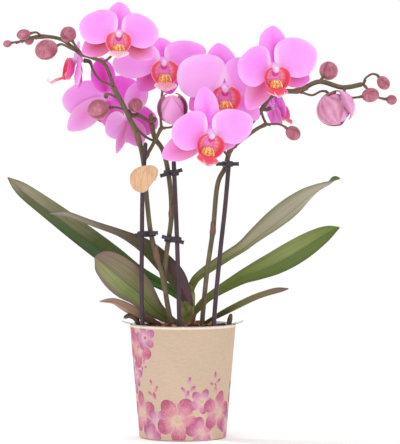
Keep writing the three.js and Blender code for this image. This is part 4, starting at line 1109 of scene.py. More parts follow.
# Stakes: straight round sticks with a rounded top and faint long ridges
stakes = {
    "radius": 2, "ridges": 8, "ridgeHeight": 0.02,
    "lines": [
        [[-32, -19, 62], [-36, -22, 104], [-36.2, -22.6, 190], [-35.6, -23, 225], [-33, -23.6, 266]],
        [[-2, -25, 24], [-3, -24.4, 106], [-5, -22, 179], [-8, -19.6, 250]],
        [[24, -22, 24], [28, -24, 106], [33, -22.6, 163], [38, -21, 209], [41.5, -20, 250]],
    ],
}


def stakeRidges(angle):
    return 1 + stakes["ridgeHeight"] * np.cos(stakes["ridges"] * angle)


for number, line in enumerate(stakes["lines"], 1):
    radius = stakes["radius"] * roundedEnds(160, share=0.012)
    stick = tube(evenPath(line, 160), radius, 32, swell=stakeRidges)
    makePiece(f"stake_{number}_stick", [stick], [stakePlastic], "stake", f"stake_{number}")


# Clips: a block that holds stake and stem between two thin plates, and two finger wings with a thicker
# tip, which lie along the direction given. All are rounded boxes, given by their half sizes.
clipForm = {"overhang": 7.4, "block": (3.7, 2.75), "plate": (0.25, 3.9, 0.5), "plateHeight": 1.5,
            "wing": (4.2, 0.9, 1.7), "wingTip": (0.6, 1.1, 1.9), "tipOut": 3.7, "wingOut": 6, "wingFront": 3}
clips = [
    {"stake": (-36.2, -22.6, 184), "stem": (-28.2, -13.2, 184), "wing": (0.87, 0, 0.1)},
    {"stake": (-5.2, -21.9, 179), "stem": (-12.3, -12.6, 179), "wing": (0.87, 0, -0.25)},
    {"stake": (-7.5, -19.9, 238.5), "stem": (-12.9, -12, 238.5), "wing": (0.9, 0, 0.25)},
    {"stake": (41.2, -20.1, 246.5), "stem": (38.8, -11.6, 246.5), "wing": (1, 0, 0)},
    {"stake": (-35.4, -23.1, 232), "stem": (-33.6, -15.4, 232), "wing": (0.6, 0, 0.1)},
]


def clipParts(clip):
    stake, stem = np.array(clip["stake"], float), np.array(clip["stem"], float)
    middle = (stake + stem) / 2
    span = stem - stake
    about = turnAbout(2, math.atan2(span[1], span[0]))
    half = (np.linalg.norm(span) + clipForm["overhang"]) / 2
    more, *plate = clipForm["plate"]
    parts = [placed(ball((0, 0, 0), (half, *clipForm["block"]), 20, 0.35), about, middle)]
    for height in (-clipForm["plateHeight"], clipForm["plateHeight"]):
        parts.append(placed(ball((0, 0, height), (half + more, *plate), 16, 0.4), about, middle))
    wing = unit(np.array(clip["wing"], float))
    lean = turnAbout(1, -math.asin(wing[2]))
    for side in (1, -1):
        out = clipForm["wingOut"] * side
        place = middle + np.array([wing[0] * out, -clipForm["wingFront"], wing[2] * out])
        parts.append(placed(ball((0, 0, 0), clipForm["wing"], 14, 0.35), lean, place))
        tip = ball((clipForm["tipOut"] * side, 0, 0), clipForm["wingTip"], 12, 0.5)
        parts.append(placed(tip, lean, place))
    return parts


for number, clip in enumerate(clips, 1):
    makePiece(f"clip_{number}_body", clipParts(clip), [clipPlastic], "clip", f"clip_{number}")


# Tag: a palette-shaped disc of thin wood. Its outline is four Bezier arcs, and its section gives the share
# of the outline and of half the thickness from the middle to the softened edge.
tag = {
    "arcs": [[(-13, -1), (-14, 9), (-3.5, 12.5), (4.3, 12.5)],
             [(4.3, 12.5), (13, 12.5), (14, 6), (10.4, 0.5)],
             [(10.4, 0.5), (6.5, -4), (5.4, -6), (2.6, -10)],
             [(2.6, -10), (-1.3, -14), (-12, -12), (-13, -1)]],
    "place": (-34, -27.9, 233), "thickness": 1.8,
    "section": [(0.02, 1), (0.35, 1), (0.7, 1), (0.93, 1), (0.985, 0.86), (1, 0.55)],
}


def tagDisc():
    w = np.linspace(0, 1, 24, endpoint=False)[:, None]
    weights = np.hstack([(1 - w) ** 3, 3 * w * (1 - w) ** 2, 3 * w**2 * (1 - w), w**3])
    outline = np.vstack([weights @ np.array(arc) for arc in tag["arcs"]])
    middle = outline.mean(axis=0)
    edge = tag["thickness"] / 2
    steps = tag["section"] + [(share, -rise) for share, rise in reversed(tag["section"])]
    loops = []
    for share, rise in steps:
        flat = middle + (outline - middle) * share
        loops.append(np.stack([flat[:, 0], np.full(len(flat), -edge * rise - edge), flat[:, 1]], axis=1))
    return [placed(rings(np.array(loops), {}), np.eye(3), tag["place"])]


makePiece("tagDisc", tagDisc(), [tagWood], "tag_wood", "tag")
print("stakes, clips and tag made")


# Blooms: the middle of each flower in mm, its turn and its tip up in degrees and its size. The lip has
# its roll, its scale, the reach of its tongue and the tone of that, and warm is the share of the salmon
# in the lower sepals. A petal has its angle, its length, how far its tip bends back, the half widths of
# its upper and lower sides and its tone, from pale to deep. A sepal has one breadth in their place.
# The deep tones on blooms 4 and 9, which face away, and on the lower sepals of bloom 3 are partly their own
# colour and partly painted shade.
blooms = [
    {"centre": (-56, -45, 362), "turn": 0, "lift": 8, "size": 0.97, "lip": (0, 1.05, 1, 0.2),
     "petals": [(167, 37, 3, 17.5, 14.5, 0.4), (0, 36, 3, 17.5, 13.5, 0.4)],
     "sepals": [(90, 30, 4, 1, 0.42), (207, 38, 4, 1, 0.42), (325, 38, 4, 1, 0.36)], "warm": 1.0},
    {"centre": (-93, -2, 340), "turn": -78, "lift": 10, "size": 0.92, "lip": (0, 1.15, 1.6, 0.7),
     "petals": [(172, 34, 1, 16, 14, 0.45), (-40, 33, 1, 11.5, 13, 0.45)],
     "sepals": [(92, 26, 14, 1, 0.5), (242, 31, 2, 1, 0.5), (292, 33, 2, 1, 0.5)], "warm": 0.75},
    {"centre": (-18, 0, 339), "turn": 12, "lift": 0, "size": 1, "lip": (0, 1.15, 1, 0.3),
     "petals": [(185, 46, 1.5, 15, 13, 0.36), (13, 41, 1.5, 13.5, 13, 0.4)],
     "sepals": [(95, 21, 3, 1, 0.44), (232, 34, 3, 1, 0.6), (286, 31, 3, 1, 0.7)], "warm": 0.6},
    {"centre": (-49, 11, 289), "turn": 184, "lift": -8, "size": 0.92, "lip": (0, 1, 1, 0.6),
     "petals": [(198, 30, 1, 14, 13, 0.66), (318, 28, 1, 13, 11, 0.28)],
     "sepals": [(112, 38, 2, 1, 0.32), (250, 32, 2, 1, 0.4), (288, 39, 2, 0.4, 0.35)], "warm": 0.5},
    {"centre": (37, -16, 315.5), "turn": 8, "lift": 0, "size": 1.08, "lip": (0, 1.12, 1, 0.35),
     "petals": [(158, 41, 1.5, 20, 18, 0.24), (18, 38, 1.5, 19, 15, 0.36)],
     "sepals": [(97, 36.5, 3, 1.15, 0.44), (214, 34, 3, 1, 0.5), (318, 40, 3, 1, 0.36)], "warm": 0.12},
    {"centre": (80, -42, 333), "turn": 20, "lift": -4, "size": 1.05, "lip": (0, 1.05, 1, 0.7),
     "petals": [(184, 31, 3, 17.5, 15.5, 0.42), (16, 42, 3, 19, 15.5, 0.38)],
     "sepals": [(88, 34, 4.5, 1.15, 0.44), (242, 42, 4.5, 1, 0.4), (342, 38, 4.5, 1, 0.62)], "warm": 0.75},
    {"centre": (24, -51, 275), "turn": 18, "lift": -12, "size": 1, "lip": (-12, 1.15, 1, 0.7),
     "petals": [(182, 34.5, 3, 19, 15.5, 0.4), (12, 41.5, 3, 16.5, 15, 0.36)],
     "sepals": [(99, 40, 4.5, 1, 0.42), (211, 47, 4.5, 1.15, 0.4), (335, 30, 4.5, 1, 0.4)], "warm": 0.7},
    {"centre": (83, 16, 298), "turn": 112, "lift": 18, "size": 0.82, "lip": (0, 1, 1, 0.7),
     "petals": [(170, 31, 1, 16, 14, 0.6), (8, 31, 1, 16, 14, 0.6)],
     "sepals": [(90, 31, 2, 1, 0.6), (232, 24, 2, 1, 0.62), (306, 24, 2, 1, 0.62)], "warm": 0.2},
    {"centre": (-70, 30, 307), "turn": 180, "lift": -4, "size": 1, "lip": (0, 1, 1, 0.8),
     "petals": [(168, 33, 2, 16, 14, 0.62), (-6, 40, 2, 16, 15, 0.34)],
     "sepals": [(82, 36, 3, 1, 0.72), (252, 33, 3, 1, 0.62), (318, 46, 3, 1, 0.28)], "warm": 0.3},
]
tepals = {
    "thickness": 1.1, "start": 2.4, "claw": 1.5, "sepalHalf": 10.5,
    "petal": {"front": 0.9, "arch": 1.4, "rollBack": 0.006, "wave": 0.5},
    "sepal": {"front": -1.4, "arch": 0, "rollBack": 0.008, "wave": 0.3},
    "upper": (0.68, 0.45), "lower": (1.25, 0.5), "sepalOutline": (1.1, 0.62),
    "margin": {"height": 0.45, "turns": 17}, "midrib": 0.35, "ribs": 0.04,
}


# The turn of a bloom: its axes are right, up and forwards, each as long as its size
def bloomFrame(bloom):
    turn, lift = math.radians(bloom["turn"]), math.radians(bloom["lift"])
    forward = np.array([math.sin(turn) * math.cos(lift), -math.cos(turn) * math.cos(lift), math.sin(lift)])
    right = np.array([math.cos(turn), math.sin(turn), 0])
    up = np.cross(forward, right)
    return np.stack([right, up, forward], axis=1) * bloom["size"]


# A tepal: its half width is the sine of pi t^peak, to a power, on top of a narrow claw. It arches
# forwards, bends its tip back by t squared and rolls its margins back by the square of the place across.
# The margins wave, the midrib is a groove and fine ribs run beside it.
def tepal(spec, kind, warm, phase):
    angle, length, reflex, *broad, tone = spec
    petalLike = kind == "petal"
    form = tepals[kind]
    rows, columns = 46, 33
    t = (0.999 * (1 - np.cos(np.linspace(0, math.pi, rows))) / 2)[:, None]
    s = np.sin(np.linspace(-math.pi / 2, math.pi / 2, columns))[None]
    upper = 1 if angle < 90 or angle > 270 else -1
    if petalLike:
        above = s * upper > 0
        half = np.where(above, *broad)
        peak, power = (np.where(above, high, low) for high, low in zip(tepals["upper"], tepals["lower"]))
    else:
        half = broad[0] * tepals["sepalHalf"]
        peak, power = tepals["sepalOutline"]
    outline = np.sin(math.pi * t**peak) ** power
    side = s * (tepals["claw"] * (1 - t) + half * outline)
    out = tepals["start"] + (length - tepals["start"]) * t
    height = (form["front"] + form["arch"] * np.sin(math.pi * t) - reflex * t * t
              - form["rollBack"] * side * side * t + form["wave"] * s * s * np.sin(5 * t + s))
    ripple = np.sin(tepals["margin"]["turns"] * t + phase + 3 * np.sign(s)) * smoothstep(0.15, 0.5, t)
    height = height + tepals["margin"]["height"] * s**4 * ripple
    height = height - tepals["midrib"] * np.exp(-((side / 0.8) ** 2)) * smoothstep(1, 0.6, t)
    height = height + tepals["ribs"] * np.cos(side * 2.6) * outline * smoothstep(1, 0.7, t)
    flat = np.stack(np.broadcast_arrays(out, side, height), axis=-1)
    surface = flat @ turnAbout(2, math.radians(angle)).T
    edge = np.abs(s) ** 3
    if petalLike:
        broadPlace = smoothstep(0.1, 0.5, t) * smoothstep(0.95, 0.5, t)
        depth = tone + 0.1 * broadPlace * (0.4 + 0.6 * np.clip(s * upper, 0, 1))
        depth = depth - 0.16 * edge - 0.12 * smoothstep(0.8, 1, t)
        white = 0.5 * smoothstep(0.16, 0.04, t)
        heat = 0.0
    else:
        depth = tone + 0.2 * np.exp(-((s / 0.35) ** 2)) * smoothstep(1, 0.3, t) - 0.14 * edge
        white = 0.3 * smoothstep(0.1, 0.02, t)
        share = warm if angle > 180 else 0
        heat = share * smoothstep(1.15, 0.5, t) * (0.65 + 0.35 * np.exp(-((s / 0.6) ** 2)))
    thickness = tepals["thickness"] * (1 - 0.5 * s * s) * rounded(s, 6) * rounded(t, 8)
    return blade(surface, thickness, {"along": t, "across": s, "depth": depth, "white": white, "warm": heat})


# Column: a turned body that leans forwards, its cap, and the stigma below. heart is the ball where the
# petals and sepals join. A ball is given by its middle and its three radii.
columnForm = {
    "profile": [[0.1, 0], [2, 0.4], [2.3, 3], [2.6, 6], [2.9, 7.6], [2.4, 9.1], [1.2, 9.9], [0.1, 10.1]],
    "lean": (0, -0.36, 0.93), "place": (0, 0.4, 0), "heart": ((0, 0, -0.4), (3.6, 3.6, 3.8)),
    "cap": ((0, 0.7, 8.4), (2.5, 2.2, 1.7)), "stigma": ((0, -5.6, 5.4), (2.7, 2.6, 2.0)),
}


def bloomParts(bloom, number):
    parts = []
    for k, spec in enumerate(bloom["petals"]):
        parts.append(tepal(spec, "petal", 0, number * 1.7 + k * 2.1))
    for k, spec in enumerate(bloom["sepals"]):
        parts.append(tepal(spec, "sepal", bloom["warm"], number * 2.3 + k * 1.3))
    parts.append(ball(*columnForm["heart"], 18, tags={"depth": 0.45, "white": 0.2}))
    lean, place = towards(columnForm["lean"]), columnForm["place"]
    profile = np.clip(smoothProfile(columnForm["profile"], 30), 0.05, None)
    parts.append(placed(turned(profile, 28, {"magenta": 0.03}, 1), lean, place))
    parts.append(placed(ball(*columnForm["cap"], 16, 1, {"magenta": 0.0}, 1), lean, place))
    parts.append(ball(*columnForm["stigma"], 16, 1, {"magenta": 1.0}, 1))
    return [placed(part, bloomFrame(bloom), bloom["centre"]) for part in parts]


# Lip: two side lobes, the tongue with two thin tendrils at its end, and the callus, nine ridges of unlike
# tone on a low dome, with a lilac shield above it that closes the throat
lipForm = {
    "radius": 9.3, "drop": 9, "forward": 7.2, "outer": (2.1, 3.4), "inner": (4.6, 4.2), "arc": (-88, 156),
    "tongue": {"top": -15.6, "fall": 8.5, "cup": 1.6, "half": (2.6, 6.6), "front": 5.5, "rise": 11.5,
               "droop": 3.5, "thickness": 1.1},
    "tendril": [[0, 0, -1.5], [1.4, 0.6, 1.6], [3.4, 2.2, 3.0], [4.6, 4.4, 2.0]],
    "ridges": 4, "ridgeRadius": 0.72, "ridgeTones": (0.75, 0.1, 0.55),
    "ridge": [[0.6, -10.2, 5.4], [0.95, -12.8, 8.2], [1.2, -15.6, 9.0], [1.35, -17, 7.8]],
    "dome": ((0, -14.6, 6.6), (5.0, 4.2, 2.6)), "shield": ((0, -8.6, 3.9), (5.2, 6.2, 1.3)),
}


# A side lobe: a band round an arc, which flares out and forwards at one margin and in and back at the
# other. Its width grows as a power of a sine, and its inner face is paler.
def sideLobe(side, tone):
    t, s = bladeGrid(44, 31, eased=False)
    start, sweep = lipForm["arc"]
    around = np.radians(start + sweep * t)
    band = s * (0.35 + 0.65 * np.sin(math.pi * (0.12 + 0.8 * t)) ** 0.7)
    flare, rise = (np.where(s > 0, outer, inner) for outer, inner in zip(lipForm["outer"], lipForm["inner"]))
    radius = lipForm["radius"] + flare * band + 0.25 * np.sin(9 * t + s)
    surface = np.stack([side * radius * np.cos(around), radius * 0.94 * np.sin(around) - lipForm["drop"],
                        lipForm["forward"] + rise * band], axis=-1)
    depth = 0.3 + 0.35 * tone + 0.22 * np.sin(math.pi * t) - 0.3 * smoothstep(0.8, 1, s)
    inner = smoothstep(0.0, -0.8, s) * (0.6 + 0.2 * np.cos(13 * around))
    part = blade(surface, rounded(s, 6) * rounded(2 * t - 1, 12),
                 {"along": 0.2 + 0.5 * t, "across": s, "depth": depth, "inner": inner})
    tags = part["tags"]
    inside = tags["front"] if side < 0 else 1 - tags["front"]
    tags["inner"] = tags["inner"] * inside
    tags["lilac"] = 0.45 * (1 - inside)
    return part


# The tongue: its half width swells as the sine of pi t^1.5, its margins lift by the square of the place
# across, and it reaches forwards and then droops by t squared
def tongue(reach, tone):
    form = lipForm["tongue"]
    t, s = bladeGrid(40, 27)
    narrow, swell = form["half"]
    half = narrow + swell * np.clip(np.sin(math.pi * (0.02 + 0.9 * t) ** 1.5), 0, 1) ** 0.9
    half = half * rounded(t, 10, 0.01)
    height = form["front"] + reach * form["rise"] * t - form["droop"] * t * t
    surface = np.stack([s * half, form["top"] - form["fall"] * t + form["cup"] * s * s,
                        height + 0.25 * s**4 * np.sin(14 * t)], axis=-1)
    depth = tone - 0.5 * smoothstep(0.55, 1, t) * tone - 0.25 * np.abs(s) ** 4
    thickness = form["thickness"] * rounded(s, 6) * rounded(t, 8)
    parts = [blade(surface, thickness, {"along": t, "across": s, "depth": depth})]
    tip = surface[-1, surface.shape[1] // 2]
    for side in (1, -1):
        path = evenPath(tip + np.array(lipForm["tendril"]) * [side, 1, 1], 24)
        parts.append(tube(path, np.linspace(0.5, 0.18, 24), 8, {"depth": 0.12, "along": 0.0}))
    return parts


# The ridges spread from the middle by their number, and their lower ends are uneven by a cosine of it
def callus():
    parts = []
    for k in range(-lipForm["ridges"], lipForm["ridges"] + 1):
        ridge = np.array(lipForm["ridge"]) * [k, 1, 1]
        ridge[-1, 1] -= 1.6 * math.cos(1.9 * k) - 0.2 * abs(k)
        radius = np.sqrt(np.clip(np.sin(math.pi * np.linspace(0.02, 0.98, 30)), 0.02, 1))
        tags = {"depth": lipForm["ridgeTones"][k % 3], "spotted": 0.9}
        parts.append(tube(evenPath(ridge, 30), lipForm["ridgeRadius"] * radius, 12, tags, 1))
    parts.append(ball(*lipForm["dome"], 20, 1, {"depth": 0.3, "spotted": 0.5}, 1))
    parts.append(ball(*lipForm["shield"], 24, 1, {"depth": 0.5, "lilac": 0.9, "along": 0.0}))
    return parts


def lipParts(bloom):
    roll, scale, reach, tone = bloom["lip"]
    parts = [sideLobe(side, tone) for side in (1, -1)] + tongue(reach, tone) + callus()
    turn = bloomFrame(bloom) @ turnAbout(2, math.radians(roll)) * scale
    return [placed(part, turn, bloom["centre"]) for part in parts]


for number, bloom in enumerate(blooms, 1):
    makePiece(f"flower_{number}", bloomParts(bloom, number), [petal, column], "petal", f"bloom_{number}")
    makePiece(f"flowerLip_{number}", lipParts(bloom), [lipLobe, lipCallus], "lip", f"lip_{number}")
print("blooms made")


# Buds: the spike and the middle of each, its length and width, and the stalk that it hangs on. One that
# opens has the turn of its sepals from the front in degrees, how far and how near the tip they spread, and
# how pale each is.
buds = [
    {"spike": 1, "centre": (-157, -8, 354), "length": 8, "width": 6.6,
     "stalk": [(-146, -7, 356), (-150, -7.5, 355.4)]},
    {"spike": 1, "centre": (-142, -16, 362), "length": 13, "width": 9.4,
     "stalk": [(-126, -6.2, 360.5), (-131, -12, 364)]},
    {"spike": 1, "centre": (-138, 1, 357), "length": 9, "width": 7.6,
     "stalk": [(-128, -6.5, 360), (-131.5, -2.5, 360)]},
    {"spike": 1, "centre": (-121, -30, 348), "length": 21, "width": 18,
     "stalk": [(-91, -15, 345), (-101, -20, 350), (-108, -25, 353)]},
    {"spike": 1, "centre": (-102, -18, 362), "length": 14.5, "width": 14.5,
     "stalk": [(-90, -16, 344.6), (-95, -17.4, 351)]},
    {"spike": 2, "centre": (-75, -20, 295), "length": 20, "width": 18,
     "stalk": [(-46, -14, 290), (-55, -17, 296), (-62, -18, 297)]},
    {"spike": 2, "centre": (-42, -21, 299), "length": 13.5, "width": 13,
     "stalk": [(-40, -12, 290), (-40.5, -14, 291.5)]},
    {"spike": 1, "centre": (-9, -28, 296), "length": 28, "width": 27,
     "opening": {"turn": 0, "spread": 0.72, "peak": 0.7, "shades": (0.95, 0.1, 0.15)},
     "stalk": [(-19, -12, 279), (-12, -14, 279), (-8, -22, 281)]},
    {"spike": 3, "centre": (131, -2, 330), "length": 17, "width": 17,
     "stalk": [(122, -7, 320), (124, -6, 322.5)]},
    {"spike": 3, "centre": (137, -12, 296), "length": 31, "width": 35,
     "opening": {"turn": 38, "spread": 0.95, "peak": 1.2, "shades": (0.35, 0.4, 0.8)},
     "stalk": [(103, -10, 312), (116, -9, 308), (124, -9, 311.5), (129, -9, 311)]},
    {"spike": 3, "centre": (180, -5, 319), "length": 13.5, "width": 11,
     "stalk": [(162, -2, 318), (164, -2, 323), (170, -3, 327), (174.5, -4, 326)]},
    {"spike": 3, "centre": (168, -12, 308), "length": 16, "width": 13,
     "stalk": [(144, -4, 315), (146, -6, 310), (151, -8, 306), (156, -10, 306)]},
    {"spike": 3, "centre": (188, 4, 304), "length": 10, "width": 9,
     "stalk": [(162, -2, 318), (168, 1, 312), (174, 3, 307), (180, 3, 305)]},
    {"spike": 3, "centre": (99, -6, 274), "length": 14.5, "width": 12.5,
     "stalk": [(75, -3, 282), (86, -5, 282), (91, -6, 280)]},
]
# The core and the foot of an opening bud have a half width and a half length, and the foot its place down
# the axis, all as shares of the bud's own. A sepal runs from one place of the cosine over a share of it.
budForm = {"seamDepth": 0.07, "seamHalf": 0.12, "ribs": 18, "ribHeight": 0.012,
           "core": (0.76, 0.86), "foot": (0.42, 0.16, 0.84),
           "sepal": {"base": 0.12, "from": 0.06, "run": 0.84, "thickness": 1.2}}
eggProfile = [[0.02, -1], [0.55, -0.84], [0.93, -0.36], [1, 0.06], [0.86, 0.5], [0.5, 0.85], [0.02, 1]]


def budAxis(bud):
    return unit(np.array(bud["centre"], float) - np.array(bud["stalk"][-1], float))


# A closed bud: an egg with fine ribs and three seams, which are shallow grooves that wind a little round
def closedBud(half, wide):
    profile = np.clip(smoothProfile(eggProfile, 40) * [wide, half], [0.05, -2 * half], None)
    egg = turned(profile, 54)
    points = egg["points"]
    rise = points[:, 2] / half
    angle = np.arctan2(points[:, 1], points[:, 0])
    wind = angle * 1.5 + 0.5 * rise
    groove = np.exp(-((np.sin(wind) / budForm["seamHalf"]) ** 2))
    groove = groove * smoothstep(-0.9, -0.2, rise)
    ribs = budForm["ribHeight"] * np.sin(angle * budForm["ribs"])
    points[:, :2] *= (1 - budForm["seamDepth"] * groove + ribs * smoothstep(1, 0.5, np.abs(rise)))[:, None]
    egg["tags"] = {"seam": 0.42 + 0.35 * groove, "foot": 0.8 * smoothstep(-0.75, -1, rise),
                   "rim": 0.5 * smoothstep(0.8, 1, rise)}
    return egg


# A bud that opens: a core, a foot, and three outer sepals. Their place along runs as a cosine up the core
# and their half width is a narrow base and spread times the sine of pi t^peak.
def openingBud(half, wide, frontSide, opening):
    coreWide, coreHalf = budForm["core"]
    core = closedBud(coreHalf * half, coreWide * wide)
    core["tags"] = {"lilac": np.full(len(core["points"]), 0.85), "seam": core["tags"]["seam"]}
    footWide, footHalf, footDrop = budForm["foot"]
    foot = ball((0, 0, -footDrop * half), (footWide * wide, footWide * wide, footHalf * half), 16, 1,
                {"seam": 0.5, "foot": 0.6})
    parts = [core, foot]
    sepal = budForm["sepal"]
    t, s = bladeGrid(40, 29)
    edge = np.abs(s) ** 3
    height = -np.cos(math.pi * (sepal["from"] + sepal["run"] * t))
    radius = 0.97 * wide * np.sqrt(1 - height * height) + 0.5 * edge * np.sin(math.pi * t)
    thickness = sepal["thickness"] * rounded(s, 6) * rounded(2 * t - 1, 12)
    halfWidth = sepal["base"] + opening["spread"] * np.sin(math.pi * t ** opening["peak"])
    for k, paleness in enumerate(opening["shades"]):
        around = tau * k / 3 + frontSide + s * halfWidth
        surface = np.stack([radius * np.cos(around), radius * np.sin(around), half * height], axis=-1)
        parts.append(blade(surface, thickness, {
            "seam": 0.25 + 0.16 * np.cos(15 * s), "rim": 0.55 * np.abs(s) ** 8,
            "foot": 0.5 * smoothstep(0.12, 0, t), "lilac": paleness * (1 - 0.6 * edge)}))
    return parts


for number, bud in enumerate(buds, 1):
    half, wide = bud["length"] / 2, bud["width"] / 2
    budTurn = towards(budAxis(bud))
    if "opening" in bud:
        front = budTurn.T @ np.array([0, -1, 0])
        frontSide = math.atan2(front[1], front[0]) + math.radians(bud["opening"]["turn"])
        parts = openingBud(half, wide, frontSide, bud["opening"])
    else:
        parts = [closedBud(half, wide)]
    parts = [placed(part, budTurn, bud["centre"]) for part in parts]
    makePiece(f"budBody_{number}", parts, [budSkin], "bud", f"bud_{number}")
print("buds made")


# Spikes: the main stem, its side branches, its joints, and the stalk of each bloom by its number. A stalk
# has places along it and its radius there as shares.
spikeForm = {"radius": 2.2, "branch": 1.7, "stalk": 1.0, "swell": 0.32, "swellReach": 3.2, "step": 1.2,
             "bloomStalk": ([0, 0.1, 0.7, 1], [1.6, 1.15, 1.2, 2.1]),
             "budStalk": ([0, 0.12, 0.8, 1], [1.5, 1.0, 1.05, 1.5])}
spikes = [
    {"stem": [(-8, -8, 95), (-12, -10.5, 112), (-18, -13, 145), (-28, -13.5, 182), (-32, -15, 214),
              (-35, -16, 248), (-39, -19, 267), (-50, -24, 293), (-62, -26, 316)],
     "branches": [[(-62, -26, 316), (-64.5, -26, 325), (-70, -25, 336), (-80, -21, 341), (-91, -15, 345),
                   (-100, -7, 352), (-109, -5, 358), (-123, -6, 360.5), (-137, -7, 359), (-146, -7, 356)],
                  [(-34.5, -16, 250), (-26, -14, 265), (-19, -12, 279)]],
     "knots": [(-24, -13.3, 164), (-39, -19, 267), (-62, -26, 316)],
     "blooms": {1: [(-71, -25, 336), (-63, -29, 343), (-56, -32, 356)],
                2: [(-62, -26, 316), (-73, -21, 321), (-80, -12, 330)],
                3: [(-19, -12, 279), (-20, -2, 292), (-18, 14, 318), (-17, 16, 333)],
                9: [(-55, -25, 303), (-63, -12, 308), (-69, 8, 309)]}},
    {"stem": [(-9, -2, 95), (-12.5, -4.8, 112), (-16, -8, 138), (-15, -11, 162), (-10, -14, 202),
              (-13, -12, 239), (-18, -8, 259), (-25, -7, 270), (-28, -8, 283)],
     "branches": [[(-28, -8, 283), (-34, -10, 287), (-40, -12, 290), (-46, -14, 290), (-49, -15, 295)],
                  [(-28, -8, 283), (-24, -9, 288)]],
     "knots": [(-10, -14, 202), (-28, -8, 283)],
     "blooms": {4: [(-23, -7, 266), (-32, -9, 270), (-41, -10, 278), (-46, -9, 286)]}},
    {"stem": [(17, -4, 96), (18, -6, 111), (22, -10, 151), (27, -13, 186), (32, -14, 231), (38, -12, 243),
              (43, -9, 260), (57, -4, 278), (70, -3, 294), (78, -7, 306), (87, -10, 311), (103, -10, 312),
              (122, -7, 320), (144, -4, 315), (162, -2, 318)],
     "branches": [[(42, -9, 259), (56, -4, 270), (67, -3, 278), (75, -3, 282)]],
     "knots": [(27, -13, 186), (43, -9, 260), (103, -10, 312)],
     "blooms": {5: [(43, -9, 260), (44, 2, 280), (41, 6, 305)],
                6: [(79, -8, 307), (80, -18, 316), (78, -27, 330)],
                7: [(40.5, -10.6, 254), (35, -20, 260), (26, -34, 270)],
                8: [(75, -3, 282), (72, 3, 289), (71, 10, 296)]}},
]


# The place behind a bloom, at a distance along its axis
def behindBloom(bloom, distance):
    return np.array(bloom["centre"], float) - bloomFrame(bloom)[:, 2] * distance / bloom["size"]


# A bract: a pointed scale that wraps the near side of the stem, and stands off it by t squared
def bract(place, ahead, away, radius, length):
    t, s = bladeGrid(16, 13, eased=False)
    ahead = unit(ahead)
    out = unit(away - ahead * (away @ ahead))
    side = np.cross(ahead, out)
    around = s * 1.3 * np.sqrt(1 - t * 0.97)
    reach = radius * 1.06 + 1.6 * t * t
    surface = (place + ahead * (t * length)[..., None] + out * (reach * np.cos(around))[..., None]
               + side * (reach * np.sin(around))[..., None])
    return blade(surface, 0.5, {"joint": 0.6 + 0.4 * t})


# A stem: a tube whose radius swells at each joint by a bell curve of the distance from it
def stemPath(points, radius, swellAt, sides=16):
    run = np.linalg.norm(np.diff(np.array(points, float), axis=0), axis=1).sum()
    count = max(40, int(run / spikeForm["step"]))
    path = evenPath(points, count)
    swell = np.zeros(count)
    for knot in swellAt:
        distance = np.linalg.norm(path - np.array(knot, float), axis=1)
        swell = np.maximum(swell, np.exp(-((distance / spikeForm["swellReach"]) ** 2)))
    reach = radius * (1 + spikeForm["swell"] * swell) * roundedEnds(count, share=1.5 / count)
    return path, tube(path, reach, sides, {"joint": swell[:, None]})


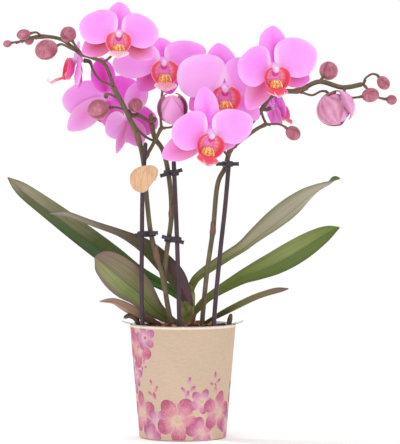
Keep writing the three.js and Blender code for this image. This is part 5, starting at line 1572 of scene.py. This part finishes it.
def spikeParts(spike, number):
    parts = []
    mainPath, mainTube = stemPath(spike["stem"], spikeForm["radius"], spike["knots"], 20)
    parts.append(mainTube)
    for knot in spike["knots"]:
        nearest = np.linalg.norm(mainPath - np.array(knot, float), axis=1).argmin()
        ahead = mainPath[min(nearest + 1, len(mainPath) - 1)] - mainPath[max(nearest - 1, 0)]
        away = np.array([math.sin(nearest), -0.8, 0.1])
        parts.append(bract(mainPath[nearest], ahead, away, spikeForm["radius"], 9))
    starts = [bud["stalk"][0] for bud in buds if bud["spike"] == number]
    for branch in spike["branches"]:
        path, made = stemPath(branch, spikeForm["branch"], starts)
        parts.append(made)
        parts.append(bract(path[1], path[4] - path[0], np.array([0.3, -1, -0.2]), spikeForm["branch"], 6))
    for index, points in spike["blooms"].items():
        bloom = blooms[index - 1]
        line = [*points, behindBloom(bloom, 9.4), behindBloom(bloom, 4.4)]
        path = evenPath(line, 60)
        reach = spikeForm["stalk"] * np.interp(np.linspace(0, 1, 60), *spikeForm["bloomStalk"])
        parts.append(tube(path, reach, 14, {"joint": 0.25},
                          swell=lambda angle: 1 + 0.06 * np.cos(6 * angle)))
    for bud in (each for each in buds if each["spike"] == number):
        end = np.array(bud["centre"], float) - budAxis(bud) * (bud["length"] / 2 - 0.4)
        path = evenPath([*bud["stalk"], end], 50)
        reach = spikeForm["stalk"] * np.interp(np.linspace(0, 1, 50), *spikeForm["budStalk"])
        parts.append(tube(path, reach, 12, {"joint": 0.3}))
        parts.append(bract(path[1], path[6] - path[0], np.array([0.2, -1, -0.4]), 1.2, 4))
    return parts


for number, spike in enumerate(spikes, 1):
    makePiece(f"spikeStem_{number}", spikeParts(spike, number), [stemSkin], "stem", f"spike_{number}")
print("spikes made")


# Studio: a plain white floor and a white room that gives most of the light, a soft key lamp at the upper
# left, and weak ones at the right and behind
studio = {"floorSize": 12, "room": 1.02,
          "lights": [("key", (-1.7, -1.8, 1.6), 2.6, 6.5), ("fill", (1.6, -1.9, 1.2), 1.6, 0.3),
                     ("back", (0.4, 1.7, 1.6), 1.6, 1.2)]}
floorMesh = bpy.data.meshes.new("floor")
reach = studio["floorSize"]
floorMesh.from_pydata([(-reach, -reach, 0), (reach, -reach, 0), (reach, reach, 0), (-reach, reach, 0)], [],
                      [(0, 1, 2, 3)])
floor = bpy.data.objects.new("floor", floorMesh)
bpy.context.scene.collection.objects.link(floor)
floorPaint, floorTree, floorShader = newFinish("floorPaint", 0.9, 0.1)
paleNoise = noise(floorTree, objectPlace(floorTree), 3.0)
floorTone = blendColour(floorTree, paleNoise, (253, 253, 253), (255, 255, 255))
floorTree.links.new(floorTone, floorShader.inputs["Base Color"])
floorMesh.materials.append(floorPaint)
world = bpy.data.worlds.new("room")
world.use_nodes = True
world.node_tree.nodes["Background"].inputs["Color"].default_value = (1, 1, 1, 1)
world.node_tree.nodes["Background"].inputs["Strength"].default_value = studio["room"]
bpy.context.scene.world = world
aim = np.array([0.0, 0.0, 0.2])
for name, place, size, power in studio["lights"]:
    lamp = bpy.data.lights.new(name, "AREA")
    lamp.shape = "DISK"
    lamp.size = size
    lamp.energy = power
    holder = bpy.data.objects.new(name, lamp)
    holder.location = place
    turn = towards(np.array(place) - aim)
    holder.matrix_world = [[*turn[0], place[0]], [*turn[1], place[1]], [*turn[2], place[2]], [0, 0, 0, 1]]
    bpy.context.scene.collection.objects.link(holder)
bpy.context.scene.view_settings.view_transform = "Standard"
print("studio made")
